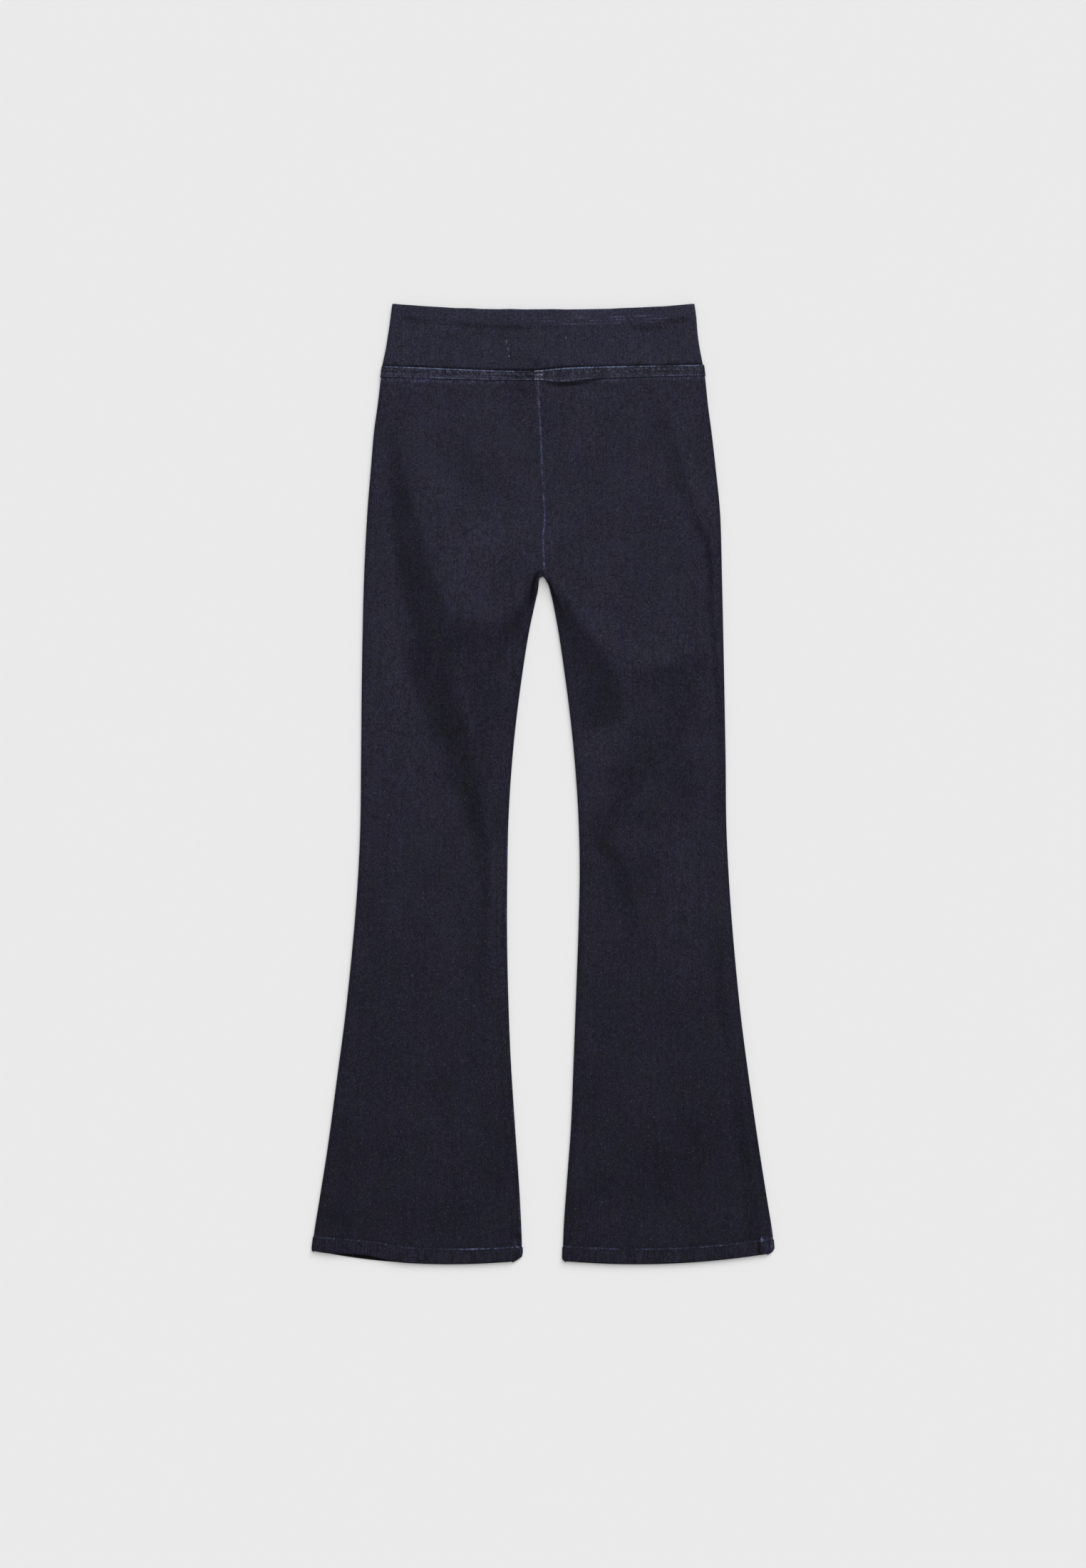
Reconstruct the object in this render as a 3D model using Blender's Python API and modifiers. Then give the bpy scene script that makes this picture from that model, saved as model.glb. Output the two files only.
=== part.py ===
"""Flared denim leggings, laid flat on a surface and looked down on.

The garment is made as it is cut and sewn: two front legs on two back legs, a wide
waistband with a front and a back, and the overlocked seam strip below it. Each piece is
one wall of cloth, lofted through sections across the garment. +X is to the right, +Y to
the waist and +Z up from the surface. The origin is on the surface, under the middle of
the garment's outline.

Tables and sizes are in millimetres, and loft() turns them into metres. "Down" is the
distance down the garment from the corners of the waistband.
"""

import bisect
import math
from collections import namedtuple

import bmesh
import bpy
from mathutils import Vector

MM = 0.001

# Driving sizes of the garment and its cloth.
LENGTH = 1051.4
CLOTH = 1.1
BAND_CLOTH = 2.5
STRIP_CLOTH = 1.0
GAP = 0.3

# Heights above the surface. The back lies on it, and the front lies on the back.
FRONT_TOP = 4.6
WAIST_TOP = 5.0
HEM_TOP = 5.2
STRIP_LIFT = STRIP_CLOTH + GAP
BAND_TOP = 5.9
BAND_INSIDE = 3.0

# A side edge, where the front turns down to the back over the seam allowances.
EDGE_RADIUS = 1.8
EDGE_LIP = 0.3
EDGE_DROP = 0.2
RIDGE_INSET = 7.0
RIDGE_RISE = 0.35
RIDGE_FADE = 16.0

# The centre seam, which dips to its stitches, and the way down to the crotch.
CENTRE_DIP = 0.5
BACK_DIP = 0.1
CROTCH_DOWN = 302.0
CROTCH_BLEND = 7.0
CROTCH_LEAD = 3.5

# The outer edges of the legs, left and right as seen from above.
Outside = namedtuple("Outside", "down left right")
OUTSIDE = (
    Outside(66, -174.2, 174.3),
    Outside(82, -175.6, 176.0),
    Outside(94, -178.6, 178.8),
    Outside(110, -180.5, 180.6),
    Outside(140, -184.6, 184.9),
    Outside(180, -188.0, 189.5),
    Outside(230, -192.0, 194.4),
    Outside(300, -195.5, 196.4),
    Outside(400, -197.8, 198.6),
    Outside(500, -198.8, 200.4),
    Outside(570, -199.6, 201.2),
    Outside(630, -202.3, 204.0),
    Outside(700, -207.8, 209.2),
    Outside(780, -216.2, 217.1),
    Outside(850, -225.4, 226.2),
    Outside(920, -234.8, 236.3),
    Outside(980, -244.2, 245.7),
    Outside(1020, -250.6, 252.0),
    Outside(1052, -254.0, 254.2),
)

# The line between the legs: the centre seam down to the crotch, then the gap they leave.
Between = namedtuple("Between", "down centre parting")
BETWEEN = (
    Between(66, -6.4, GAP),
    Between(100, -5.2, GAP),
    Between(150, -2.0, GAP),
    Between(200, 1.2, GAP),
    Between(240, 2.3, GAP),
    Between(302, 1.6, GAP),
    Between(304, 1.8, 3.2),
    Between(308, 2.0, 8.2),
    Between(316, 1.8, 13.2),
    Between(330, 1.7, 20.6),
    Between(360, 1.2, 32.6),
    Between(400, 1.0, 45.0),
    Between(450, 0.9, 58.2),
    Between(500, 0.9, 68.4),
    Between(560, 1.0, 76.4),
    Between(620, 1.0, 79.2),
    Between(680, 0.2, 78.4),
    Between(740, -0.4, 75.4),
    Between(820, -0.5, 69.6),
    Between(900, 0.4, 61.4),
    Between(960, 0.3, 52.8),
    Between(1010, -0.1, 46.6),
    Between(1052, -0.1, 43.8),
)

# The waistband's side edges.
BAND_OUTSIDE = (
    Outside(0, -164.0, 165.6),
    Outside(16, -166.0, 167.8),
    Outside(34, -168.6, 169.2),
    Outside(50, -171.2, 171.6),
    Outside(60, -173.4, 173.6),
    Outside(72, -176.0, 176.0),
)
TOP_DIP = 6.2
TOP_DIP_POWER = 2.6

# The waist seam across the garment, and the lower edge of the strip that is sewn below it.
Waist = namedtuple("Waist", "x seam strip_edge")
WAIST = (
    Waist(-180, 68.0, 80.5),
    Waist(-126, 70.0, 82.0),
    Waist(-79, 72.0, 83.5),
    Waist(-36, 73.4, 84.2),
    Waist(-7, 73.0, 84.2),
    Waist(22, 70.2, 86.0),
    Waist(45, 69.2, 83.6),
    Waist(69, 68.6, 82.0),
    Waist(124, 67.6, 80.2),
    Waist(180, 66.6, 79.0),
)
STRIP_REACH = 2.8
STRIP_RAMP = 12.0
STRIP_CLEAR = 1.0
WAIST_FADE = 80.0
WAIST_RISE = 60.0

# The hems: a shallow curve from the outseam, with its lowest point a share of the way in.
Hem = namedtuple("Hem", "outer_down lowest_at outer_corner inner_corner")
HEMS = {
    "left": Hem(1036.8, 0.685, 1.5, 6.0),
    "right": Hem(1040.0, 0.65, 4.0, 6.0),
}
HEM_FADE_FROM = 860.0

# Each hem is turned up inside to a second layer, and its stitches pull a groove.
HEM_HEIGHT = 16.0
HEM_STEP = 1.0
HEM_TURN = 2.0
HEM_TURN_WALL = 1.2
STITCH_DIP = 0.4
STITCH_REACH = 1.5
FOLDS_IN_HEM = 0.5

# The left front hem has ridden up for a stretch, so that the back hem shows below it.
NOTCH_AT = 0.21
NOTCH_REACH = 0.15
NOTCH_DEPTH = 2.6
NOTCH_FADE = 48.0

# The largest folds of the cloth, as long soft ridges (+) and troughs (-) on the fronts.
Fold = namedtuple("Fold", "x0 down0 x1 down1 x2 down2 spread rise")
FOLDS = (
    Fold(-166, 150, -147, 300, -131, 420, 13, -1.55),
    Fold(-135, 370, -112, 480, -72, 590, 13, -1.50),
    Fold(-128, 190, -108, 300, -92, 400, 24, 1.00),
    Fold(-178, 330, -164, 430, -150, 560, 14, 0.90),
    Fold(-4, 306, -52, 322, -104, 362, 11, 1.20),
    Fold(-12, 326, -46, 356, -84, 420, 12, -1.10),
    Fold(-20, 352, -34, 420, -44, 520, 10, 0.80),
    Fold(8, 314, 44, 372, 66, 470, 15, -1.50),
    Fold(12, 306, 84, 330, 120, 392, 20, 1.10),
    Fold(150, 396, 110, 430, 62, 446, 13, -1.10),
    Fold(46, 472, 78, 482, 132, 470, 13, 1.15),
    Fold(60, 540, 84, 610, 96, 690, 14, -1.05),
    Fold(168, 420, 160, 520, 168, 640, 16, 0.80),
    Fold(-150, 640, -128, 740, -120, 860, 22, 0.75),
    Fold(-70, 700, -72, 820, -60, 940, 20, -0.80),
    Fold(120, 720, 132, 830, 128, 950, 22, 0.80),
    Fold(190, 740, 204, 850, 214, 980, 14, -0.75),
    Fold(-120, 130, -70, 150, -30, 220, 26, 0.50),
    Fold(40, 140, 90, 190, 100, 280, 26, 0.50),
)
FOLD_SAMPLES = 12
FOLD_AT_EDGE = 0.35
LOWEST_FRONT = 2.9

# How finely the pieces are lofted: rows down to each level, and columns across.
Stretch = namedtuple("Stretch", "until rows")
FRONT_STRETCHES = (
    Stretch(78, 1),
    Stretch(86, 1),
    Stretch(100, 2),
    Stretch(290, 8),
    Stretch(302, 2),
    Stretch(308, 2),
    Stretch(316, 1),
    Stretch(360, 3),
    Stretch(1000, 23),
)
BACK_STRETCHES = (
    Stretch(78, 1),
    Stretch(86, 1),
    Stretch(100, 1),
    Stretch(290, 5),
    Stretch(302, 1),
    Stretch(308, 2),
    Stretch(316, 1),
    Stretch(360, 2),
    Stretch(1000, 12),
)
FRONT_HEM_ROWS = (18.5, 17.0, 16.0, 15.0, 13.5, 6.0, 2.6, 0.8, 0.0)
BACK_HEM_ROWS = (17.0, 15.0, 6.0, 2.0, 0.0)
LEG_COLUMNS = 11
BACK_COLUMNS = 5
BAND_COLUMNS = 14
STRIP_COLUMNS = 18
EDGE_STEPS = 2

# The waistband from its top edge to the seam: the share of the way down, the wall there,
# and how far its front and back stand apart at the side seams.
BandRow = namedtuple("BandRow", "share wall parting")
BAND_ROWS = (
    BandRow(0.0, 1.2, 0.9),
    BandRow(0.012, 2.1, 0.6),
    BandRow(0.04, 2.7, GAP),
    BandRow(0.16, 3.0, GAP),
    BandRow(0.28, 2.9, GAP),
    BandRow(0.34, 2.5, GAP),
    BandRow(0.41, 2.75, GAP),
    BandRow(0.70, 2.85, GAP),
    BandRow(0.92, 2.7, GAP),
    BandRow(0.98, 2.2, GAP),
    BandRow(1.0, 1.8, GAP),
)
BAND_EDGE_RADIUS = 2.6
BAND_EDGE_WALL = 2.0
BAND_EDGE_SPARE = 0.25

# The seam strip from its upper to its lower edge: the share of the way, and the wall there.
StripRow = namedtuple("StripRow", "share wall")
STRIP_ROWS = (
    StripRow(0.0, 0.65),
    StripRow(0.07, 1.0),
    StripRow(0.5, 1.0),
    StripRow(0.93, 1.0),
    StripRow(1.0, 0.65),
)

# Colours of the cloth, as linear light.
INDIGO = (0.0194, 0.0202, 0.0382)
WORN_INDIGO = (0.030, 0.033, 0.066)
LEG_ROUGHNESS = 0.9
STRIP_ROUGHNESS = 0.95


def smoothstep(part):
    """0 below 0, 1 above 1, and a smooth rise between."""
    part = min(max(part, 0.0), 1.0)
    return part * part * (3 - 2 * part)


def mix(start, end, part):
    return start + (end - start) * part


def read(table, column, at):
    """A table's column on a smooth curve through its rows, at a place in its first column."""
    places = [row[0] for row in table]
    values = [getattr(row, column) for row in table]
    last = len(table) - 1
    at = min(max(at, places[0]), places[last])
    index = min(bisect.bisect_right(places, at) - 1, last - 1)
    span = places[index + 1] - places[index]
    slopes = []
    for point in (index, index + 1):
        before = max(point - 1, 0)
        after = min(point + 1, last)
        slopes.append((values[after] - values[before]) / (places[after] - places[before]))
    part = (at - places[index]) / span
    start_weight = (1 + 2 * part) * (1 - part) ** 2
    end_weight = part * part * (3 - 2 * part)
    bend = part * (1 - part) * ((1 - part) * slopes[0] - part * slopes[1]) * span
    return start_weight * values[index] + end_weight * values[index + 1] + bend


def leg_edges(side, down):
    """The left and right edge of one leg at a level."""
    centre = read(BETWEEN, "centre", down)
    parting = max(read(BETWEEN, "parting", down), GAP)
    if side == "left":
        return read(OUTSIDE, "left", down), centre - parting / 2
    return centre + parting / 2, read(OUTSIDE, "right", down)


def hem_down(side, share):
    """The level of a leg's hem, at a share of the way in from the outseam."""
    hem = HEMS[side]
    curve = (LENGTH - hem.outer_down) / hem.lowest_at**2
    return LENGTH - curve * (share - hem.lowest_at) ** 2


def in_hem(above_hem):
    """0 above a hem's stitches, and 1 below them in its double cloth."""
    return smoothstep((HEM_HEIGHT - above_hem) / HEM_STEP)


def corner_inset(radius, above_hem):
    """How far a rounded hem corner has turned in, at a height above the hem."""
    if above_hem >= radius:
        return 0.0
    return radius - math.sqrt(radius**2 - (radius - above_hem) ** 2)


def fold_height(x, down):
    """How far the folds raise or lower the front of a leg."""
    height = 0.0
    for fold in FOLDS:
        nearest = math.inf
        nearest_part = 0.0
        for sample in range(FOLD_SAMPLES + 1):
            part = sample / FOLD_SAMPLES
            fold_x = mix(mix(fold.x0, fold.x1, part), mix(fold.x1, fold.x2, part), part)
            fold_down = mix(
                mix(fold.down0, fold.down1, part), mix(fold.down1, fold.down2, part), part
            )
            distance = math.hypot(x - fold_x, down - fold_down)
            if distance < nearest:
                nearest = distance
                nearest_part = part
        fade = math.sin(math.pi * nearest_part)
        height += fold.rise * fade * math.exp(-((nearest / fold.spread) ** 2))
    return height


def edge_height(inset):
    """The low ridge of seam allowances that runs along a side edge."""
    down_to_edge = EDGE_DROP * (1 - smoothstep(inset / RIDGE_INSET))
    return RIDGE_RISE * (1 - smoothstep((inset - RIDGE_INSET) / RIDGE_FADE)) - down_to_edge


def leg_top(x, down):
    """The plain height of the fronts, which climb to the thick seam at the waist."""
    below_strip = (down - read(WAIST, "strip_edge", x)) / WAIST_RISE
    return mix(WAIST_TOP, FRONT_TOP, smoothstep(below_strip))


def front_height(side, x, down, above_hem):
    """The height of a front leg's outer face above the surface."""
    left, right = leg_edges(side, down)
    outer_inset = x - left if side == "left" else right - x
    inner_inset = right - x if side == "left" else x - left
    below_crotch = smoothstep((down - CROTCH_DOWN) / CROTCH_BLEND)
    below_strip = smoothstep((down - read(WAIST, "strip_edge", x)) / STRIP_RAMP)
    ridge = below_strip * edge_height(outer_inset) + below_crotch * edge_height(inner_inset)
    inset = min(outer_inset, mix(outer_inset, inner_inset, below_crotch))
    at_edge = mix(FOLD_AT_EDGE, 1.0, smoothstep(inset / RIDGE_FADE))
    folds = fold_height(x, down) * at_edge * below_strip
    cloth = max(leg_top(x, down) + ridge + folds, LOWEST_FRONT)
    hem = HEM_TOP + (cloth - FRONT_TOP) * FOLDS_IN_HEM
    stitches = STITCH_DIP * (1 - smoothstep(abs(above_hem - HEM_HEIGHT) / STITCH_REACH))
    return mix(cloth, hem, in_hem(above_hem)) - stitches


def back_height(x, down):
    """The height of a back leg's outer face, which climbs onto the strip at the waist."""
    below_strip = (down - read(WAIST, "strip_edge", x) - STRIP_CLEAR) / STRIP_RAMP
    return STRIP_LIFT * (1 - smoothstep(below_strip))


# A point of a loft lies on the outer face of the cloth, with a wall behind it. A row of a
# leg has a level and, in the hem, a height above the leg's lower edge.
Point = namedtuple("Point", "x y z wall")
LegRow = namedtuple("LegRow", "level above_hem")

# A column of a loft: its share of the width and its shift from there, and how far it has
# climbed from the rim of a folded side edge to the face. The last two are for a flat seam.
Column = namedtuple("Column", "share shift climb flat_shift flat_dip")


def side_columns(radius, share, direction):
    """The columns from the rim of a side edge round to its face."""
    columns = [Column(share, 0.0, -1.0, 0.0, 1.0)]
    for step in range(EDGE_STEPS + 1):
        angle = 0.5 * math.pi * step / EDGE_STEPS
        part = (step + 1) / (EDGE_STEPS + 2)
        shift = direction * radius * (1 - math.cos(angle))
        flat_shift = direction * RIDGE_INSET * part**2
        columns.append(Column(share, shift, math.sin(angle), flat_shift, (1 - part) ** 3))
    columns.append(Column(share, direction * RIDGE_INSET, 1.0, direction * RIDGE_INSET, 0.0))
    return columns


def make_columns(radius, count):
    """The columns across a piece: a side edge, evenly over the face, and the other side edge."""
    columns = side_columns(radius, 0.0, 1)
    for step in range(1, count):
        share = step / count
        shift = RIDGE_INSET * (1 - 2 * share)
        columns.append(Column(share, shift, 1.0, shift, 0.0))
    return columns + side_columns(radius, 1.0, -1)[::-1]


def column_x(column, left, right, folded):
    """Where a column lies between the two edges of its row."""
    return left + column.share * (right - left) + mix(column.flat_shift, column.shift, folded)


def column_height(column, face, rim, dip, folded):
    """A column's height: round a folded edge, or on a face that only dips to a flat seam."""
    lip = math.copysign(EDGE_LIP, face - rim)
    if column.climb < 0:
        round_edge = rim
    else:
        round_edge = rim + lip + (face - rim - lip) * column.climb
    flat = face - math.copysign(dip, face - rim) * column.flat_dip
    return mix(flat, round_edge, folded)


def is_on_face(column):
    """Whether a column has left the rounded side edge for the face."""
    return 0 < column.share < 1 or abs(column.shift) == RIDGE_INSET


def levels(start, stretches):
    """The levels of the rows, evenly spaced within each stretch."""
    rows = [start]
    for stretch in stretches:
        top = rows[-1]
        for step in range(1, stretch.rows + 1):
            rows.append(mix(top, stretch.until, step / stretch.rows))
    return rows


def leg_row_plan(side, front):
    """The rows of a leg, from the waist seam to the hem."""
    stretches = FRONT_STRETCHES if front else BACK_STRETCHES
    hem_rows = FRONT_HEM_ROWS if front else BACK_HEM_ROWS
    rows = [LegRow(level, None) for level in levels(read(WAIST, "seam", 0), stretches)]
    return rows + [LegRow(HEMS[side].outer_down - height, height) for height in hem_rows]


def leg_down(side, level, x, inwards):
    """The true level of a point: rows follow the waist seam above and the hem below."""
    near_waist = 1 - smoothstep((level - read(WAIST, "strip_edge", 0)) / WAIST_FADE)
    fade_length = HEMS[side].outer_down - HEM_HEIGHT - HEM_FADE_FROM
    near_hem = smoothstep((level - HEM_FADE_FROM) / fade_length)
    seam_curve = read(WAIST, "seam", x) - read(WAIST, "seam", 0) + GAP / 2
    hem_curve = hem_down(side, inwards) - HEMS[side].outer_down
    return level + near_waist * seam_curve + near_hem * hem_curve


def notch(side, front, inwards, above_hem):
    """How far the left front hem has ridden up."""
    if side == "right" or not front:
        return 0.0
    along = smoothstep(1 - abs(inwards - NOTCH_AT) / NOTCH_REACH)
    return NOTCH_DEPTH * along * smoothstep(1 - above_hem / NOTCH_FADE)


def leg_place(side, front, column, row, folded):
    """Where a point of a leg lies: its x, its true level and its height above the hem."""
    left, right = leg_edges(side, row.level)
    x = column_x(column, left, right, folded)
    inwards = (x - left if side == "left" else right - x) / (right - left)
    down = leg_down(side, row.level, x, inwards)
    above_hem = hem_down(side, inwards) - down
    if row.above_hem is not None:
        above_hem = row.above_hem
        down = hem_down(side, inwards) - above_hem
    down -= notch(side, front, inwards, above_hem)
    left, right = leg_edges(side, down)
    outer = corner_inset(HEMS[side].outer_corner, above_hem)
    inner = corner_inset(HEMS[side].inner_corner, above_hem)
    left += outer if side == "left" else inner
    right -= inner if side == "left" else outer
    return column_x(column, left, right, folded), down, above_hem


def leg_point(side, front, column, row):
    """One point of a leg's outer face, with the wall of cloth behind it."""
    at_outseam = (column.share < 0.5) == (side == "left")
    folded = 1.0
    if not at_outseam:
        folded = smoothstep((row.level - CROTCH_DOWN + CROTCH_LEAD) / CROTCH_BLEND)
    x, down, above_hem = leg_place(side, front, column, row, folded)
    lower = back_height(x, down)
    top = mix(leg_top(x, down), HEM_TOP, smoothstep(1 - above_hem / HEM_HEIGHT))
    rim = (lower + top) / 2
    if front:
        face = front_height(side, x, down, above_hem)
        z = column_height(column, face, rim + GAP / 2, CENTRE_DIP, folded)
    else:
        z = column_height(column, lower, rim - GAP / 2, BACK_DIP, folded)
    wall = CLOTH
    if is_on_face(column):
        at_turn = smoothstep(1 - above_hem / HEM_TURN)
        wall = mix(CLOTH, mix(2 * CLOTH, HEM_TURN_WALL, at_turn), in_hem(above_hem))
    return Point(x, LENGTH / 2 - down, z, wall)


def leg_rows(side, front):
    """All rows of a leg's front or back."""
    columns = make_columns(EDGE_RADIUS, LEG_COLUMNS if front else BACK_COLUMNS)
    rows = []
    for row in leg_row_plan(side, front):
        rows.append([leg_point(side, front, column, row) for column in columns])
    return rows


def band_edges(down):
    """The left and right edge of the waistband at a level."""
    return read(BAND_OUTSIDE, "left", down), read(BAND_OUTSIDE, "right", down)


def band_point(front, column, row):
    """One point of the waistband's outer face: its inside stays flat, and its wall varies."""
    top = TOP_DIP * (1 - abs(2 * column.share - 1) ** TOP_DIP_POWER)
    seam_x = column_x(column, *band_edges(BAND_OUTSIDE[-1].down), 1.0)
    down = mix(top, read(WAIST, "seam", seam_x) - GAP / 2, row.share)
    x = column_x(column, *band_edges(down), 1.0)
    if front:
        face = BAND_INSIDE + row.wall
        rim = BAND_TOP / 2 + row.parting / 2
        wall = row.wall
    else:
        face = max(BAND_CLOTH - row.wall, 0.0)
        rim = BAND_TOP / 2 - row.parting / 2
        wall = BAND_CLOTH - face
    if not is_on_face(column):
        wall = min(wall, BAND_EDGE_WALL, abs(face - rim) - BAND_EDGE_SPARE)
    z = column_height(column, face, rim, 0.0, 1.0)
    return Point(x, LENGTH / 2 - down, z, wall)


def band_rows(front):
    """All rows of the waistband's front or back, from its top edge to the waist seam."""
    columns = make_columns(BAND_EDGE_RADIUS, BAND_COLUMNS)
    return [[band_point(front, column, row) for column in columns] for row in BAND_ROWS]


def strip_edges(down):
    """The left and right edge of the seam strip, which goes round outside the legs."""
    left = read(OUTSIDE, "left", down) - STRIP_REACH
    return left, read(OUTSIDE, "right", down) + STRIP_REACH


def strip_point(front, column, row):
    """One point of the seam strip: the face of the legs that it lies on, moved out."""
    seam_x = column_x(column, *strip_edges(WAIST[0].seam), 1.0)
    upper_edge = read(WAIST, "seam", seam_x) + GAP / 2
    down = mix(upper_edge, read(WAIST, "strip_edge", seam_x), row.share)
    x = column_x(column, *strip_edges(down), 1.0)
    rounding = STRIP_CLOTH - row.wall
    middle = (STRIP_LIFT + WAIST_TOP) / 2
    if front:
        face = WAIST_TOP + STRIP_LIFT - rounding
        z = column_height(column, face, middle + GAP / 2, 0.0, 1.0)
    else:
        z = column_height(column, rounding, middle - GAP / 2, 0.0, 1.0)
    return Point(x, LENGTH / 2 - down, z, row.wall)


def strip_rows(front):
    """All rows of the seam strip's front or back, from its upper to its lower edge."""
    columns = make_columns(EDGE_RADIUS + STRIP_LIFT, STRIP_COLUMNS)
    return [[strip_point(front, column, row) for column in columns] for row in STRIP_ROWS]


def denim(name, colour, roughness):
    """Woven indigo cloth, not metallic."""
    material = bpy.data.materials.new(name)
    material.use_nodes = True
    shader = material.node_tree.nodes["Principled BSDF"]
    shader.inputs["Base Color"].default_value = (*colour, 1.0)
    shader.inputs["Roughness"].default_value = roughness
    shader.inputs["Metallic"].default_value = 0.0
    material.diffuse_color = (*colour, 1.0)
    return material


def loft(name, rows, front, material, collection, parent):
    """One piece of cloth: a sheet through its rows, thickened inwards from its outer face."""
    mesh = bpy.data.meshes.new(name)
    piece = bpy.data.objects.new(name, mesh)
    middle = rows[0][len(rows[0]) // 2]
    piece.location = (middle.x * MM, middle.y * MM, 0.0)
    sheet = bmesh.new()
    grid = []
    for row in rows:
        places = [Vector((point.x, point.y, point.z)) * MM for point in row]
        grid.append([sheet.verts.new(place - piece.location) for place in places])
    for upper, lower in zip(grid, grid[1:]):
        for column in range(len(upper) - 1):
            corners = (upper[column], lower[column], lower[column + 1], upper[column + 1])
            face = sheet.faces.new(corners if front else corners[::-1])
            face.smooth = True
    sheet.to_mesh(mesh)
    sheet.free()
    mesh.materials.append(material)

    points = [point for row in rows for point in row]
    thickest = max(point.wall for point in points)
    walls = piece.vertex_groups.new(name="wall")
    for index, point in enumerate(points):
        walls.add([index], point.wall / thickest, "REPLACE")
    cloth = piece.modifiers.new("cloth", "SOLIDIFY")
    cloth.thickness = thickest * MM
    cloth.offset = -1.0
    cloth.vertex_group = walls.name
    cloth.use_quality_normals = True
    collection.objects.link(piece)
    piece.parent = parent


def clear_scene():
    for thing in list(bpy.data.objects):
        bpy.data.objects.remove(thing, do_unlink=True)


def make_leggings():
    """All pieces of the garment, under one empty."""
    collection = bpy.data.collections.new("flared_leggings")
    bpy.context.scene.collection.children.link(collection)
    garment = bpy.data.objects.new("flared_leggings", None)
    collection.objects.link(garment)

    for face, front in (("back", False), ("front", True)):
        for side in ("left", "right"):
            name = f"{face}_{side}_leg"
            material = denim(name, INDIGO, LEG_ROUGHNESS)
            loft(name, leg_rows(side, front), front, material, collection, garment)
        name = f"waistband_{face}"
        material = denim(name, INDIGO, LEG_ROUGHNESS)
        loft(name, band_rows(front), front, material, collection, garment)
        name = f"waist_seam_strip_{face}"
        material = denim(name, WORN_INDIGO, STRIP_ROUGHNESS)
        loft(name, strip_rows(front), front, material, collection, garment)


clear_scene()
make_leggings()
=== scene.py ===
"""Flared denim leggings, laid flat: the looks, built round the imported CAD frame.

Everything is in the frame's own axes: +X right, +Y to the waist, +Z up from the surface.
Sizes in the tables are in millimetres, and "down" is measured from the waistband's corners.
"""

import math
from collections import namedtuple

import bpy
import numpy as np
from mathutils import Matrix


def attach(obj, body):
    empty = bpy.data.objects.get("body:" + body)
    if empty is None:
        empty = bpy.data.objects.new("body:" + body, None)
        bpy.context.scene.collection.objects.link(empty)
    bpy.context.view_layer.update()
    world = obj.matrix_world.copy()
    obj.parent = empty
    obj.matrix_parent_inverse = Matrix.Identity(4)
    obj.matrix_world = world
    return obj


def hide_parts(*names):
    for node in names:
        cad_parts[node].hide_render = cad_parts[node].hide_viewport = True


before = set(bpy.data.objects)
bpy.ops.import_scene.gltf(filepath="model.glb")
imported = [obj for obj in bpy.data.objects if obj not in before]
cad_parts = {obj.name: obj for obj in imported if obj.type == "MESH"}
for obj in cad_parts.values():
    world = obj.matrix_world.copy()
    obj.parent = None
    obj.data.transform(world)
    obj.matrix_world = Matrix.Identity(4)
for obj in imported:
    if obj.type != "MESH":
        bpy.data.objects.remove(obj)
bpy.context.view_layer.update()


# ---- Back legs -------------------------------------------------------------------------
# The two back legs lie on the surface, under the fronts. Each is one wall of stretch denim
# from the waist seam to a hem that is turned up inside, flat where it rests.

MM = 0.001
LENGTH = 1051.4


def rows_of(kind, *rows):
    """A table's rows of numbers, under the names of their columns."""
    return [kind(*row) for row in rows]


# The outer edges of the legs, left and right as seen from above.
Outside = namedtuple("Outside", "down left right")
OUTSIDE = rows_of(
    Outside,
    (66, -175.2, 176.0), (82, -177.2, 178.0), (94, -178.6, 179.3), (110, -180.5, 180.9),
    (140, -184.6, 184.9), (180, -188.0, 189.5), (230, -192.0, 194.4), (300, -195.5, 196.4),
    (400, -197.8, 198.6), (500, -198.8, 200.4), (570, -199.6, 201.2), (630, -202.3, 204.0),
    (700, -207.8, 209.2), (780, -216.2, 217.1), (850, -225.4, 226.2), (920, -234.8, 236.3),
    (980, -244.2, 245.7), (1020, -250.6, 252.0), (1052, -254.0, 254.2),
)

# The line between the legs: the centre seam down to the crotch, then the gap they leave.
Between = namedtuple("Between", "down centre parting")
BETWEEN = rows_of(
    Between,
    (66, -7.2, 0), (100, -4.9, 0), (150, -2.4, 0), (190, -0.8, 0), (212, 0.6, 0), (232, 1.8, 0),
    (243, 1.3, 0), (252, -0.1, 0), (264, 0.1, 0), (284, 0.9, 0), (296, 0.9, 0),
    (298.6, 0.3, 0.2), (299.6, -0.6, 4.6), (303, -0.2, 7.8), (308, 1.0, 10.8), (314, 1.5, 13.4),
    (320, 1.6, 16.2), (330, 1.6, 20.8), (360, 1.2, 32.6), (400, 1.0, 45.0), (450, 0.9, 58.2),
    (500, 0.9, 68.4), (560, 1.0, 76.4), (620, 1.0, 79.2), (680, 0.2, 78.4), (740, -0.4, 75.4),
    (820, -0.5, 69.6), (900, 0.4, 61.4), (960, 0.3, 52.8), (1010, -0.1, 46.6),
    (1052, -0.1, 43.8),
)
CROTCH_DOWN = 298.6
CROTCH_BLEND = 4.0

# The waist seam across the garment, and the lower edge of the strip sewn below it.
Waist = namedtuple("Waist", "x seam strip_edge")
WAIST = rows_of(
    Waist,
    (-180, 68.0, 80.5), (-126, 70.0, 82.0), (-79, 72.0, 83.5), (-36, 73.4, 84.2),
    (-7, 73.0, 84.2), (22, 70.2, 86.0), (45, 69.2, 83.6), (69, 68.6, 82.0), (124, 67.6, 80.2),
    (180, 66.6, 79.0),
)

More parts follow.
